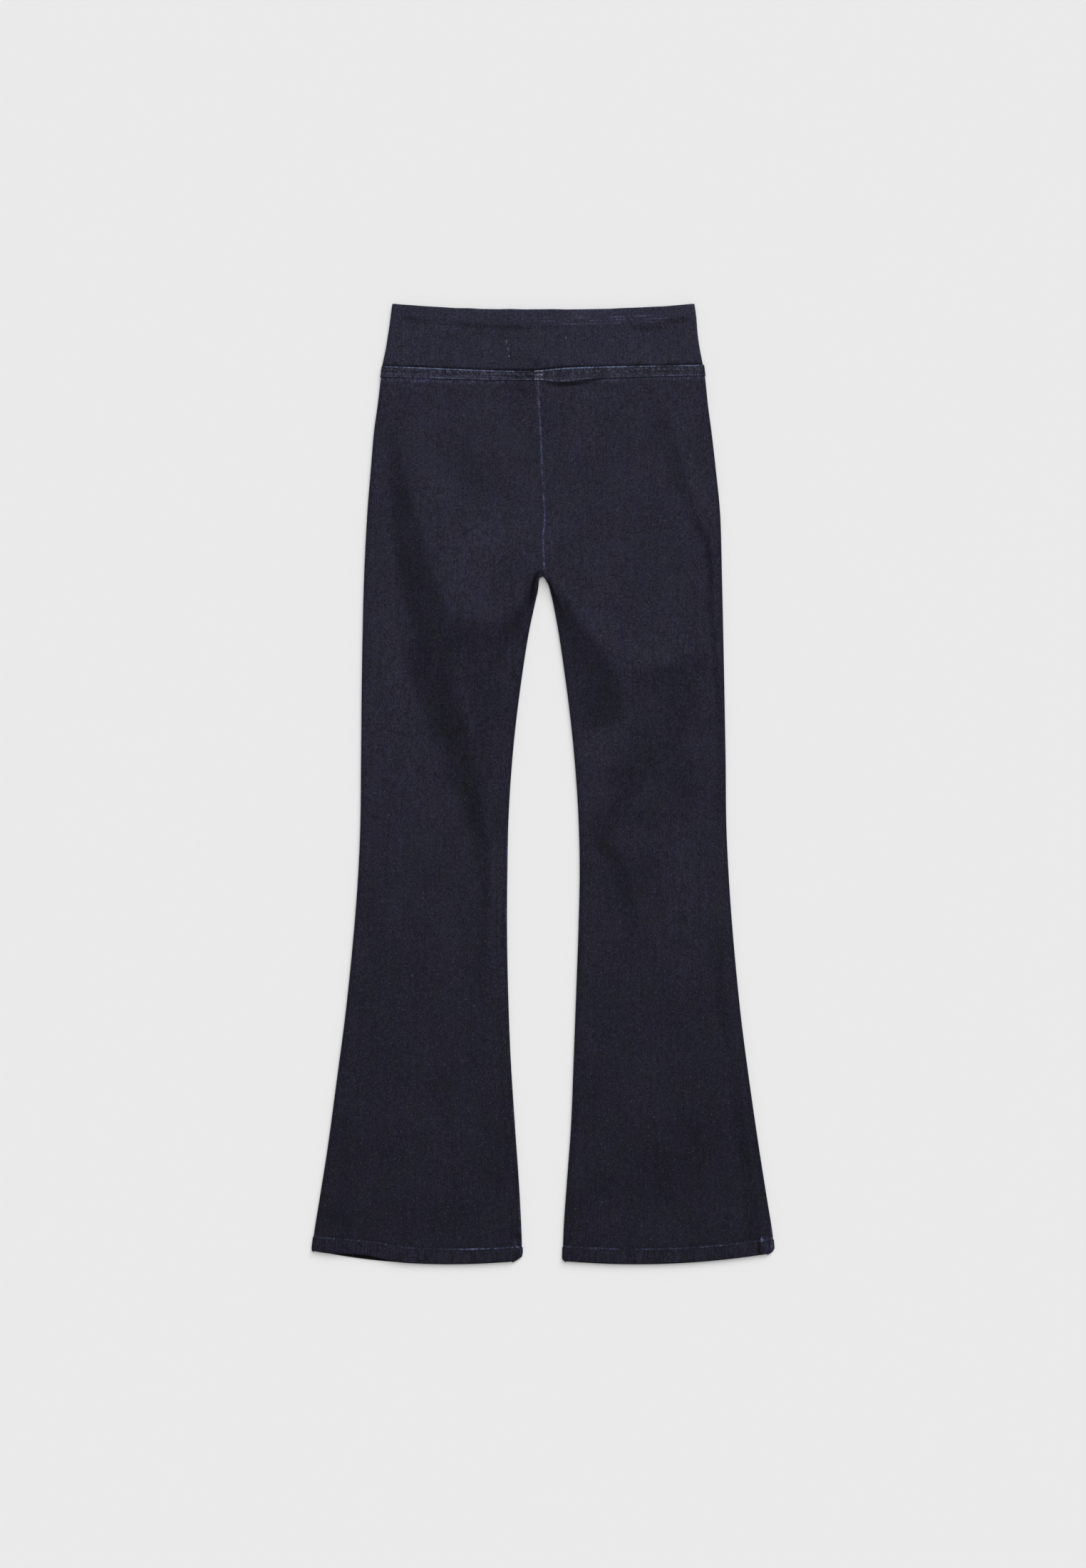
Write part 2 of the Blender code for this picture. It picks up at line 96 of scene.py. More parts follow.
# The hems: a shallow curve from the outseam, with its lowest point a share of the way in.
# Each corner is cut off by its width and height.
Hem = namedtuple("Hem", "outer_down lowest_at outer_corner inner_corner")
HEMS = {
    "left": Hem(1036.8, 0.685, (1.5, 1.5), (10.5, 7.0)),
    "right": Hem(1040.0, 0.65, (7.0, 5.0), (3.0, 3.0)),
}
HEM_HEIGHT = 16.0
HEM_FADE_FROM = 860.0
HEM_ROUND = 1.0

# Walls and heights of the cloth above the surface.
CLOTH = 0.9
FRONT_TOP = 4.6
WAIST_TOP = 5.0
WAIST_FADE = 60.0
HEM_TOP = 5.2
STRIP_LIFT = 1.3
STRIP_FADE = 12.0
EDGE_ROUND = 1.8
EDGE_INSET = 7.0
EDGE_DENSE = 18.0
# Front and back part by twice this at their edges, where each turns a little further in.
HALF_GAP = 0.02
RIM_TURN = 0.3
RIM_TUCK = 0.7


def ease(part):
    """0 below 0, 1 above 1, and a smooth rise between."""
    part = np.clip(part, 0.0, 1.0)
    return part * part * (3 - 2 * part)


def mix(start, end, part):
    return start + (end - start) * part


def joined(*parts):
    return np.concatenate(parts)


def curve(places, values, at):
    """Values on a smooth curve through a few of them."""
    places = np.asarray(places, float)
    values = np.asarray(values, float)
    steps = np.arange(len(places))
    before = np.maximum(steps - 1, 0)
    after = np.minimum(steps + 1, steps[-1])
    slopes = (values[after] - values[before]) / (places[after] - places[before])
    at = np.clip(at, places[0], places[-1])
    index = np.clip(np.searchsorted(places, at, side="right") - 1, 0, steps[-1] - 1)
    span = places[index + 1] - places[index]
    part = (at - places[index]) / span
    bend = (1 - part) * slopes[index] - part * slopes[index + 1]
    straight = mix(values[index], values[index + 1], ease(part))
    return straight + part * (1 - part) * bend * span


def read(table, column, at):
    """A table's column on a smooth curve through its rows, at places in its first column."""
    return curve([row[0] for row in table], [getattr(row, column) for row in table], at)


def swell(x, y, across, along, seed):
    """Soft uneven height from -1 to 1, in lumps of a size."""
    lattice = np.random.default_rng(seed).uniform(-1, 1, (64, 64))
    x = x / across + 31.7
    y = y / along + 31.3
    column = np.floor(x).astype(int)
    row = np.floor(y).astype(int)
    right = ease(x - column)
    down = ease(y - row)
    upper = mix(lattice[row % 64, column % 64], lattice[row % 64, (column + 1) % 64], right)
    lower = mix(
        lattice[(row + 1) % 64, column % 64], lattice[(row + 1) % 64, (column + 1) % 64], right
    )
    return mix(upper, lower, down)


def placed(x, down, z):
    """Points in the frame's directions, still in millimetres."""
    return np.stack([x, LENGTH / 2 - down, z], axis=-1)


def below_strip(x, down):
    """How far below the waist seam strip a place is."""
    return down - read(WAIST, "strip_edge", x)


def leg_edges(side, down):
    """The left and right edge of one leg at a level."""
    centre = read(BETWEEN, "centre", down)
    parting = np.maximum(read(BETWEEN, "parting", down), 0)
    if side == "left":
        return read(OUTSIDE, "left", down), centre - parting / 2
    return centre + parting / 2, read(OUTSIDE, "right", down)


def hem_down(side, share):
    """The level of a leg's hem, at a share of the way in from the outseam."""
    hem = HEMS[side]
    bow = (LENGTH - hem.outer_down) / hem.lowest_at**2
    return LENGTH - bow * (share - hem.lowest_at) ** 2


def corner_inset(corner, above_hem):
    """How far a cut hem corner has turned in, at a height above the hem."""
    width, height = corner
    return width * np.clip(1 - above_hem / height, 0, 1) ** 1.3


# A sheet's columns run from its left to its right edge: the share of its width, the shift
# from there, the climb round the edge from rim to face, and 1 where the rim is tucked in.
# Along a flat seam they have a shift of their own, and the part of the way in.
Columns = namedtuple("Columns", "share shift climb tucked flat_shift flat_part")


def mirrored(edge, middle, hand=1):
    """Values in from one edge, across the middle and out to the other edge."""
    return joined(edge, middle, hand * edge[::-1])


def edge_columns(radius, tuck, across, round_steps, reach=None, inset_steps=0):
    """The columns across a sheet, dense round its edges and for a reach in from them."""
    reach = reach or radius
    angles = np.linspace(0, math.pi / 2, round_steps)
    insets = np.linspace(0, 1, inset_steps + 1)[1:]
    shift = joined([tuck], radius * (1 - np.cos(angles)), mix(radius, reach, insets))
    climb = joined([0], np.sin(angles), 0 * insets + 1)
    tucked = joined([1], 0 * shift[1:])
    part = np.linspace(0, 1, len(shift))
    share = np.arange(1, across) / across
    middle_shift = reach * (1 - 2 * share)
    return Columns(
        share=joined(0 * shift, share, 0 * shift + 1),
        shift=mirrored(shift, middle_shift, -1),
        climb=mirrored(climb, 0 * share + 1),
        tucked=mirrored(tucked, 0 * share),
        flat_shift=mirrored(reach * part**1.7, middle_shift, -1),
        flat_part=mirrored(part, 0 * share + 1),
    )


# A leg's rows: the level, the height above the hem where one is set, and how far the cloth
# has dropped from the outer face where the hem turns up inside.
Rows = namedtuple("Rows", "level above_hem drop")
# Below the waist and down to the hem the rows are evenly spaced, but closer at the crotch.
FIRST_LEVEL = 96
CROTCH_LEVELS = (292, 322)
LAST_LEVEL = 1000


def leg_rows(side, step, hem_step):
    """The rows of a leg's panel, from the waist seam over the hem's edge and up inside."""
    levels = [np.linspace(float(read(WAIST, "seam", 0.0)), FIRST_LEVEL, 12)]
    stops = (FIRST_LEVEL, *CROTCH_LEVELS, LAST_LEVEL)
    for start, end, spacing in zip(stops, stops[1:], (step, step / 2.6, step)):
        count = int(round((end - start) / spacing))
        levels.append(np.linspace(start, end, count + 1)[1:])
    levels = joined(*levels)
    outer = HEMS[side].outer_down
    above = np.arange(outer - LAST_LEVEL - hem_step, HEM_ROUND + 0.2, -hem_step)
    turn = np.linspace(0, math.pi, 9)
    turning = HEM_ROUND * (1 - np.sin(turn))
    dropping = HEM_ROUND * (1 - np.cos(turn))
    inside = np.array([3.0, 6.0, 10.0, 15.5])
    set_heights = joined(above, turning, inside)
    flat = np.zeros(len(levels) + len(above))
    return Rows(
        level=joined(levels, outer - set_heights),
        above_hem=joined(np.full(len(levels), np.nan), set_heights),
        drop=joined(flat, dropping, np.full(len(inside), 2 * HEM_ROUND)),
    )


NOTCH_AT = 0.25
NOTCH_REACH = 0.22
NOTCH_DEPTH = 4.2
NOTCH_HEIGHT = 48


def ridden_up(inwards, above_hem):
    """The left front hem has ridden up for a stretch, so that the back hem shows below."""
    along = ease(1 - np.abs(inwards - NOTCH_AT) / NOTCH_REACH)
    return NOTCH_DEPTH * along * ease(1 - above_hem / NOTCH_HEIGHT)


# Where a panel's points lie, how far in they are from the outseam and from the seam between
# the legs, and how far the panel's edge is folded round there.
Layout = namedtuple("Layout", "x down above_hem outer_inset inner_inset folded")


def leg_layout(side, front, columns, rows):
    """Lays out a leg's panel between its outlines, with its hem and the hem's corners."""
    level = rows.level[:, None]
    at_outseam = (columns.share < 0.5) == (side == "left")
    below = ease((level - CROTCH_DOWN + CROTCH_BLEND / 2) / CROTCH_BLEND)
    folded = np.where(at_outseam, 1.0, below)
    shift = mix(columns.flat_shift, columns.shift, folded)
    left, right = leg_edges(side, level)
    x = mix(left, right, columns.share) + shift
    inwards = (x - left if side == "left" else right - x) / (right - left)
    near_waist = 1 - ease(below_strip(0.0, level) / 80)
    fade = HEMS[side].outer_down - HEM_HEIGHT - HEM_FADE_FROM
    near_hem = ease((level - HEM_FADE_FROM) / fade)
    down = level + near_waist * (read(WAIST, "seam", x) - read(WAIST, "seam", 0.0))
    down = down + near_hem * (hem_down(side, inwards) - HEMS[side].outer_down)
    set_height = np.broadcast_to(rows.above_hem[:, None], down.shape)
    above_hem = np.where(np.isnan(set_height), hem_down(side, inwards) - down, set_height)
    down = np.where(np.isnan(set_height), down, hem_down(side, inwards) - above_hem)
    if front and side == "left":
        down = down - ridden_up(inwards, above_hem)
    left, right = leg_edges(side, down)
    outer = corner_inset(HEMS[side].outer_corner, above_hem)
    inner = corner_inset(HEMS[side].inner_corner, above_hem)
    left = left + (outer if side == "left" else inner)
    right = right - (inner if side == "left" else outer)
    x = mix(left, right, columns.share) + shift
    insets = (x - left, right - x) if side == "left" else (right - x, x - left)
    return Layout(x, down, above_hem, *insets, folded)


def laid_top(x, down):
    """The plain height of the fronts' outer face, a little more beside the waist seam."""
    return mix(WAIST_TOP, FRONT_TOP, ease(below_strip(x, down) / WAIST_FADE))


def laid_underside(x, down):
    """The plain height of the backs' underside, which comes down from the hidden strip."""
    return STRIP_LIFT * (1 - ease((below_strip(x, down) - 1.0) / STRIP_FADE))


def leg_points(columns, rows, lay, face, facing, tuck, tuck_power):
    """A panel's points. Its edges roll from its face to the rim where front meets back, and
    tuck in flat at the centre seam."""
    top = mix(laid_top(lay.x, lay.down), HEM_TOP, ease(1 - lay.above_hem / HEM_HEIGHT))
    rim = (laid_underside(lay.x, lay.down) + top) / 2 + facing * HALF_GAP
    rim = rim + facing * RIM_TURN * (1 - columns.tucked)
    z_folded = mix(rim, face, columns.climb)
    z_flat = face - facing * tuck * (1 - columns.flat_part) ** tuck_power
    z = mix(z_flat, z_folded, lay.folded)
    z = z - facing * rows.drop[:, None] * mix(0.4, 1.0, columns.climb)
    return placed(lay.x, lay.down, np.maximum(z, 0.0))


def grid_map(points):
    """A flat map of a sheet's rows and columns, with room for its other side apart from it."""
    across = np.linalg.norm(np.diff(points, axis=1), axis=2).mean(axis=0)
    along = np.linalg.norm(np.diff(points, axis=0), axis=2).mean(axis=1)
    across = joined([0], np.cumsum(across))
    along = joined([0], np.cumsum(along))
    wide = across[-1] > along[-1]
    u = 0.01 + (0.98 if wide else 0.48) * across / across[-1]
    v = 0.04 + (0.46 if wide else 0.95) * along / along[-1]
    places = np.stack(np.broadcast_arrays(u[None, :], v[:, None]), axis=2).reshape(-1, 2)
    return joined(places, places + ((0, 0.48) if wide else (0.5, 0)))


def sheet_normals(points):
    """The outward direction at each point of a sheet."""
    across = np.gradient(points, axis=1)
    along = np.gradient(points, axis=0)
    normals = np.cross(along, across)
    size = np.linalg.norm(normals, axis=2, keepdims=True)
    return normals / np.maximum(size, 1e-9)


def added(name, data):
    """Adds an object to the scene."""
    thing = bpy.data.objects.new(name, data)
    bpy.context.scene.collection.objects.link(thing)
    return thing


def cloth_sheet(name, points, facing, marks, material, wall=CLOTH):
    """A sheet of cloth through rows of points, with its wall behind them, as one object."""
    rows, columns = points.shape[:2]
    normals = sheet_normals(points) * facing
    layers = joined(points.reshape(-1, 3), (points - wall * normals).reshape(-1, 3))
    index = np.arange(rows * columns).reshape(rows, columns)
    quads = np.stack(
        [index[:-1, :-1], index[1:, :-1], index[1:, 1:], index[:-1, 1:]], axis=2
    ).reshape(-1, 4)
    behind = quads[:, ::-1] + rows * columns
    loop = joined(index[0, :-1], index[:-1, -1], index[-1, :0:-1], index[:0:-1, 0])
    following = np.roll(loop, -1)
    rim = np.stack([loop, following, following + rows * columns, loop + rows * columns], axis=1)
    faces = joined(quads, behind, rim)
    places = grid_map(points)[faces]
    round_rim = np.linspace(0.01, 0.99, len(loop) + 1)
    rim_places = places[-len(loop):]
    rim_places[:, (0, 3), 0] = round_rim[:-1, None]
    rim_places[:, (1, 2), 0] = round_rim[1:, None]
    rim_places[:, :, 1] = (0.01, 0.01, 0.03, 0.03)
    if facing < 0:
        faces = faces[:, ::-1]
        places = places[:, ::-1]

    mesh = bpy.data.meshes.new(name)
    mesh.vertices.add(len(layers))
    mesh.vertices.foreach_set("co", (layers * MM).astype(np.float32).ravel())
    mesh.loops.add(faces.size)
    mesh.loops.foreach_set("vertex_index", faces.astype(np.int32).ravel())
    mesh.polygons.add(len(faces))
    mesh.polygons.foreach_set("loop_start", np.arange(0, faces.size, 4, dtype=np.int32))
    mesh.polygons.foreach_set("use_smooth", np.ones(len(faces), bool))
    mesh.update(calc_edges=True)
    mesh.uv_layers.new(name="OFBake").uv.foreach_set("vector", places.astype(np.float32).ravel())
    for mark, values in marks.items():
        layer = mesh.attributes.new(mark, "FLOAT", "POINT")
        both = joined(values.ravel(), values.ravel())
        layer.data.foreach_set("value", both.astype(np.float32))
    mesh.materials.append(material)
    return added(name, mesh)


class Wire:
    """A socket of a material's nodes. Sums and products of wires add Math nodes."""

    def __init__(self, tree, socket=None):
        self.tree = tree
        self.socket = socket

    def node(self, kind, settings, inputs, output=0):
        """Adds a node: its settings first, then the values or wires of its sockets."""
        node = self.tree.nodes.new("ShaderNode" + kind)
        for name, value in settings.items():
            setattr(node, name, value)
        self.fill(node, inputs)
        return Wire(self.tree, node.outputs[output])

    def fill(self, node, inputs):
        """Gives a node's sockets their values or wires."""
        for name, value in inputs.items():
            if isinstance(value, Wire):
                self.tree.links.new(value.socket, node.inputs[name])
            else:
                node.inputs[name].default_value = value

    def math(self, operation, first, second):
        return self.node("Math", {"operation": operation}, {0: first, 1: second})

    def __add__(self, other):
        return self.math("ADD", self, other)

    def __radd__(self, other):
        return self.math("ADD", other, self)

    def __sub__(self, other):
        return self.math("SUBTRACT", self, other)

    def __rsub__(self, other):
        return self.math("SUBTRACT", other, self)

    def __mul__(self, other):
        return self.math("MULTIPLY", self, other)

    def __rmul__(self, other):
        return self.math("MULTIPLY", other, self)


def new_material(name):
    """A material, a wire to add its nodes with, and its shader."""
    material = bpy.data.materials.new(name)
    material.use_nodes = True
    tree = material.node_tree
    return material, Wire(tree), tree.nodes["Principled BSDF"]


# The strength of the yarn's grain, its palest flecks, and the twill's ribs across and along.
GRAIN = 3.1
FLECK = (0.13, 0.14, 0.19)
TWILL = (5400.0, 3700.0, 0.0)


def denim(name, blue, violet, deep, worn_blue, offset):
    """Woven indigo twill: streaky warp, grain, flecks, mottled dye, wear and painted shade by the
    marks.
    """
    material, cloth, shader = new_material(name)
    place = cloth.node("TexCoord", {}, {}, "Object")
    place = cloth.node("VectorMath", {"operation": "ADD"}, {0: place, 1: offset})

    def noise(width, length, detail=1.0, roughness=0.5):
        """Noise whose lumps are this wide and long, in metres."""
        size = (1 / width, 1 / length, 1 / width)
        stretched = cloth.node("VectorMath", {"operation": "MULTIPLY"}, {0: place, 1: size})
        inputs = {"Vector": stretched, "Scale": 1.0, "Detail": detail, "Roughness": roughness}
        return cloth.node("TexNoise", {"noise_dimensions": "3D"}, inputs, 0)

    def ramp(value, low, high, to_low=0.0, to_high=1.0):
        """A value on a smooth step between two limits."""
        inputs = {0: value, 1: low, 2: high, 3: to_low, 4: to_high}
        return cloth.node("MapRange", {"interpolation_type": "SMOOTHSTEP"}, inputs)

    def blend(part, first, second):
        settings = {"data_type": "RGBA", "clamp_factor": True}
        return cloth.node("Mix", settings, {0: part, 6: first, 7: second}, 2)

    warp = noise(0.0016, 0.014, 2.0, 0.6)
    slub = noise(0.0035, 0.075, 1.0)
    grain = noise(0.0015, 0.0023, 2.0, 0.7)
    speckle = noise(0.0050, 0.0065, 1.0)
    mottle = noise(0.050, 0.065, 3.0, 0.6)
    bluing = noise(0.016, 0.024, 3.0, 0.6)
    cloud = noise(0.040, 0.055, 3.0, 0.55)
    fleck = ramp(noise(0.0013, 0.0017, 0.0), 0.75, 0.83)

    tone_and_shade = cloth.node("Attribute", {"attribute_name": "tone_and_shade"}, {}, "Fac")
    worn = cloth.node("Attribute", {"attribute_name": "worn"}, {}, "Fac")
    ribbed = cloth.node("Attribute", {"attribute_name": "ribbed"}, {}, "Fac")
    rib = noise(0.0026, 0.030, 1.0)
    dots = ramp(noise(0.0020, 0.0020, 0.0), 0.34, 0.66, 0.35, 1.55)
    light = 1 + GRAIN * (grain - 0.5) + 0.8 * (warp - 0.5) + 0.3 * (slub - 0.5)
    light = light + 0.60 * (speckle - 0.5) + 0.60 * (cloud - 0.5) + ribbed * (rib - 0.5)
    # The tone mark darkens the colour, both for the cloth's own tone and for painted shade.
    light = cloth.math("MAXIMUM", light, 0.55) * tone_and_shade
    colour = blend(ramp(mottle, 0.36, 0.64), (*blue, 1.0), (*violet, 1.0))
    colour = blend(ramp(bluing, 0.34, 0.68), colour, (*deep, 1.0))
    colour = cloth.node("VectorMath", {"operation": "SCALE"}, {0: colour, 3: light})
    patchy = ramp(grain * 0.7 + warp * 0.3 + worn * 0.35, 0.45, 0.80)
    part = cloth.math("MINIMUM", worn * (0.25 + patchy) * dots, 1.0)
    colour = blend(part, colour, (*worn_blue, 1.0))
    colour = blend(fleck * 0.22, colour, (*FLECK, 1.0))

    inputs = {0: place, 1: TWILL}
    diagonal = cloth.node("VectorMath", {"operation": "DOT_PRODUCT"}, inputs, "Value")
    twill = cloth.node("Math", {"operation": "SINE"}, {0: diagonal})
    height = grain + warp * 0.7 + twill * 0.12
    finish = {
        "Base Color": colour,
        "Normal": cloth.node("Bump", {}, {"Strength": 0.6, "Distance": 0.0004, "Height": height}),
        "Roughness": 0.84 + 0.12 * grain,
        "Specular IOR Level": 0.12,
        "Sheen Weight": 0.04,
        "Sheen Roughness": 0.5,
        "Sheen Tint": (0.5, 0.55, 0.8, 1.0),
    }
    cloth.fill(shader, finish)
    return material


INDIGO = (0.0166, 0.0170, 0.0270)
VIOLET = (0.0187, 0.0166, 0.0276)
DEEP_BLUE = (0.0174, 0.0165, 0.0310)
WORN_BLUE = (0.093, 0.105, 0.190)
back_denim = denim("back_denim", INDIGO, VIOLET, DEEP_BLUE, WORN_BLUE, (3.1, 1.7, 0.4))

for side in ("left", "right"):
    columns = edge_columns(EDGE_ROUND, RIM_TUCK, 52, 6, EDGE_DENSE, 8)
    rows = leg_rows(side, 4.0, 1.5)
    lay = leg_layout(side, False, columns, rows)
    points = leg_points(columns, rows, lay, laid_underside(lay.x, lay.down), -1, 1.2, 8)
    drop = rows.drop[:, None]
    # Painted shade inside the turned-up hem darkens its tone.
    marks = {
        "tone_and_shade": 0.72 * (1 - 0.85 * ease(drop / HEM_ROUND - 1)) + 0 * lay.x,
        "worn": 0.25 * ease(1 - lay.above_hem / 1.5) * (drop < HEM_ROUND),
    }
    piece = cloth_sheet(f"cloth_back_{side}", points, -1, marks, back_denim)
    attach(piece, "root")
    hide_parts(f"back_{side}_leg")


# ---- Front legs ------------------------------------------------------------------------
# The two front legs lie on the backs, joined by the centre seam down to the crotch. Their
# soft folds were left by the way the garment was pulled flat.

# Each fold is a line of places: x, down, its reach to the left and to the right as seen
# along it, and its rise. Reaches differ so that a fold may have one steep and one soft side.
FOLDS = (
    # Left leg: the long trough down the outside and across the knee.
    (
        (-166, 136, 5, 5, 0), (-162.6, 167, 8, 6, -0.9), (-157, 218, 15, 9, -1.4),
        (-151, 278, 24, 9, -1.8), (-135, 337, 26, 11, -2.1), (-123, 402, 24, 18, -2.3),
        (-110, 442, 19, 19, -2.8), (-87, 501, 11, 16, -2.5), (-71, 570, 8, 9, -1.6),
        (-63, 627, 7, 7, -0.8), (-64, 674, 7, 7, -0.4), (-69, 732, 8, 8, -0.4),
        (-70, 775, 8, 8, 0),
    ),
    # The full thigh's lower edge, from the outside round to the crotch.
    (
        (-156, 167, 16, 6, 0), (-131, 228, 22, 8, 0.7), (-115, 278, 26, 8, 0.9),
        (-103, 327, 26, 7, 1.0), (-83, 343, 22, 6, 1.1), (-54, 342, 20, 6, 1.1),
        (-31, 332, 18, 6, 1.0), (-10, 303, 8, 4, 0.3),
    ),
    (
        (-73, 350, 34, 34, -0.2), (-73, 372, 34, 34, -1.0), (-70, 415, 28, 28, -1.1),
        (-72, 462, 20, 20, -0.9), (-66, 515, 14, 14, -0.5), (-60, 560, 10, 10, 0),
    ),
    (
        (-6, 301, 4, 4, -0.4), (-15, 321, 6, 6, -1.3), (-26, 340, 7, 7, -1.6),
        (-39, 360, 8, 8, -1.4), (-49, 385, 7, 8, -0.9), (-56, 409, 7, 7, 0),
    ),
    ((-21, 370, 8, 8, 0), (-31, 409, 9, 9, 0.6), (-35, 445, 8, 8, 0.6), (-37, 500, 8, 8, 0)),
    ((-87, 397, 5, 5, 0), (-83, 436, 6, 6, 0.6), (-78, 475, 6, 6, 0.5), (-73, 515, 5, 5, 0)),
    (
        (-188, 315, 10, 10, 0), (-173, 393, 14, 14, 0.7), (-152, 455, 16, 14, 0.9),
        (-134, 526, 18, 18, 0.6), (-125, 600, 20, 20, 0),
    ),
    # Right leg: the hollow inside the thigh, and the full thigh's edge above and below it.
    (
        (8, 306, 4, 4, -0.4), (24, 335, 6, 9, -1.4), (41, 364, 8, 14, -1.8),
        (60, 397, 12, 20, -2.1), (69, 428, 14, 24, -2.2), (74, 450, 14, 26, -1.7),
        (78, 476, 10, 20, 0),
    ),
    (
        (11, 301, 8, 4, 0.3), (35, 329, 16, 6, 0.8), (55, 356, 22, 6, 1.0),
        (83, 381, 24, 6, 1.1), (108, 388, 24, 6, 1.1), (147, 384, 22, 6, 1.0),
        (174, 368, 16, 6, 0.7), (181, 331, 10, 5, 0),
    ),
    (
        (88, 405, 5, 12, -0.5), (120, 405, 6, 16, -1.1), (151, 402, 6, 18, -1.1),
        (174, 389, 5, 12, -0.4),
    ),
    (
        (155, 409, 16, 20, -0.4), (151, 440, 20, 20, -1.0), (131, 479, 18, 22, -0.9),
        (103, 514, 14, 16, -0.9), (85, 549, 10, 12, -0.5), (72, 580, 8, 8, -0.3),
    ),
    ((39, 473, 5, 20, 0.5), (61, 468, 4, 26, 1.4), (89, 462, 4, 22, 1.3), (100, 458, 4, 10, 0)),
    (
        (58, 582, 5, 5, -0.2), (65, 593, 6, 7, -1.2), (78, 607, 7, 9, -1.0),
        (90, 639, 8, 10, -0.9), (97, 674, 8, 10, -0.6), (100, 705, 8, 8, 0),
    ),
    (
        (149, 540, 22, 22, 0), (150, 600, 22, 22, 0.5), (152, 690, 20, 20, 0.4),
        (152, 750, 20, 20, 0),
    ),
    # The right outseam, which has swung a little to the front.
    (
        (127, 104, 9, 9, 0), (141, 151, 8, 10, -0.5), (151, 190, 7, 9, -0.6),
        (166, 231, 5, 7, -0.8), (178, 262, 4, 5, -1.2), (183, 292, 3.5, 4, -1.3),
        (183, 327, 3, 3.5, -1.1), (187.6, 374, 3, 3.5, -1.0), (193, 448, 3, 3, -0.8),
        (194, 520, 3, 3, -0.3), (194, 560, 3, 3, 0),
    ),
    (
        (143, 104, 10, 10, 0.3), (166, 198, 9, 8, 0.5), (186, 260, 5, 5, 0.4),
        (192, 300, 4, 4, 0.2), (194, 330, 3, 3, 0),
    ),
    (
        (192, 674, 5, 7, -0.2), (196, 756, 5, 8, -0.7), (207, 818, 5, 7, -0.35),
        (219, 912, 5, 9, -0.9), (226, 962, 5, 9, -0.5), (233, 1020, 6, 11, -0.9),
    ),
    # Shallow hollows and fans of small folds.
    ((-84, 160, 20, 20, -0.1), (-68, 190, 22, 22, -0.5), (-60, 220, 18, 18, 0)),
    ((122, 120, 14, 18, 0), (123, 142, 16, 16, -0.35), (124, 170, 14, 14, 0)),
    ((-48, 225, 26, 26, 0), (-74, 260, 26, 26, 0.5), (-95, 323, 20, 20, 0)),
    ((-33, 255, 4, 4, 0), (-18, 265, 4, 4, -0.4), (-5, 274, 3, 3, 0)),
    ((10, 288, 3, 3, 0), (38, 308, 3, 4, -0.3), (64, 333, 4, 4, 0)),
    ((8, 276, 3, 3, 0), (34, 292, 3, 4, -0.25), (58, 310, 3, 3, 0)),
    ((-219, 880, 14, 14, 0), (-219, 915, 16, 16, -0.12), (-226, 1010, 18, 16, -0.3)),
    ((-51, 880, 9, 9, 0), (-51, 930, 10, 10, -0.35), (-50, 1000, 10, 10, 0)),
    ((-120, 830, 12, 12, 0), (-120, 849, 13, 13, -0.35), (-118, 870, 12, 12, 0)),
    ((110, 905, 14, 14, 0), (126, 950, 18, 18, -0.2), (122, 995, 14, 14, 0)),
    ((162, 880, 12, 12, 0), (160, 902, 12, 12, -0.35), (156, 925, 12, 12, 0)),
)
# The sharper creases: beside the crotch, under the waist seam, and at the hems' corners.
CREASES = (
    (
        (-1.5, 293, 1.4, 1.4, -0.5), (-6.6, 297, 1.6, 1.8, -1.5), (-9.6, 304, 1.6, 1.8, -1.5),
        (-11.3, 314, 1.6, 2.2, -1.2), (-13, 327, 2, 3, -0.6), (-15, 338, 2, 3, 0),
    ),
    (
        (3.2, 298, 1.2, 1.4, 0), (7.2, 306, 1.2, 1.6, -0.9), (11.2, 316, 1.4, 2.0, -1.3),
        (15.4, 326, 2.0, 3.4, -0.9), (20, 338, 3, 5, -0.5), (26, 352, 4, 6, 0),
    ),
    (
        (-68, 83.5, 3, 4, 0), (-48, 86, 2.5, 5, -0.45), (-30, 91, 3, 8, -0.4),
        (-16, 96, 4, 10, -0.35), (-4, 102, 3, 6, 0),
    ),
    (
        (0, 87, 2, 2.6, -0.4), (20, 88.6, 2, 3, -1.1), (40, 87, 2, 2.6, -1.1),
        (58, 84.2, 2, 3, -0.7), (74, 82, 2, 3, 0),
    ),
    ((237.5, 1019, 1, 1, 0), (237, 1026, 1.2, 1.2, -1.5), (237.5, 1046, 1.2, 1.2, -1.5)),
    ((-29, 1012, 2, 2, 0), (-28, 1021, 3, 2.5, -0.6), (-22, 1030, 2, 2, 0)),
)
LOWEST_FRONT = 2.2
SEAM_ALLOWANCE = 10.0
EDGE_DROP = 0.25
FOLD_STEP = 6


def hill(away, reach, power=2):
    """1 in the middle, falling softly to 0 past a reach from it."""
    return np.exp(-((away / reach) ** power))


def ripple(at, length, seed):
    """Soft uneven height from -1 to 1 along a line, in lumps of a length."""
    return swell(at, 0 * at, length, 1, seed)


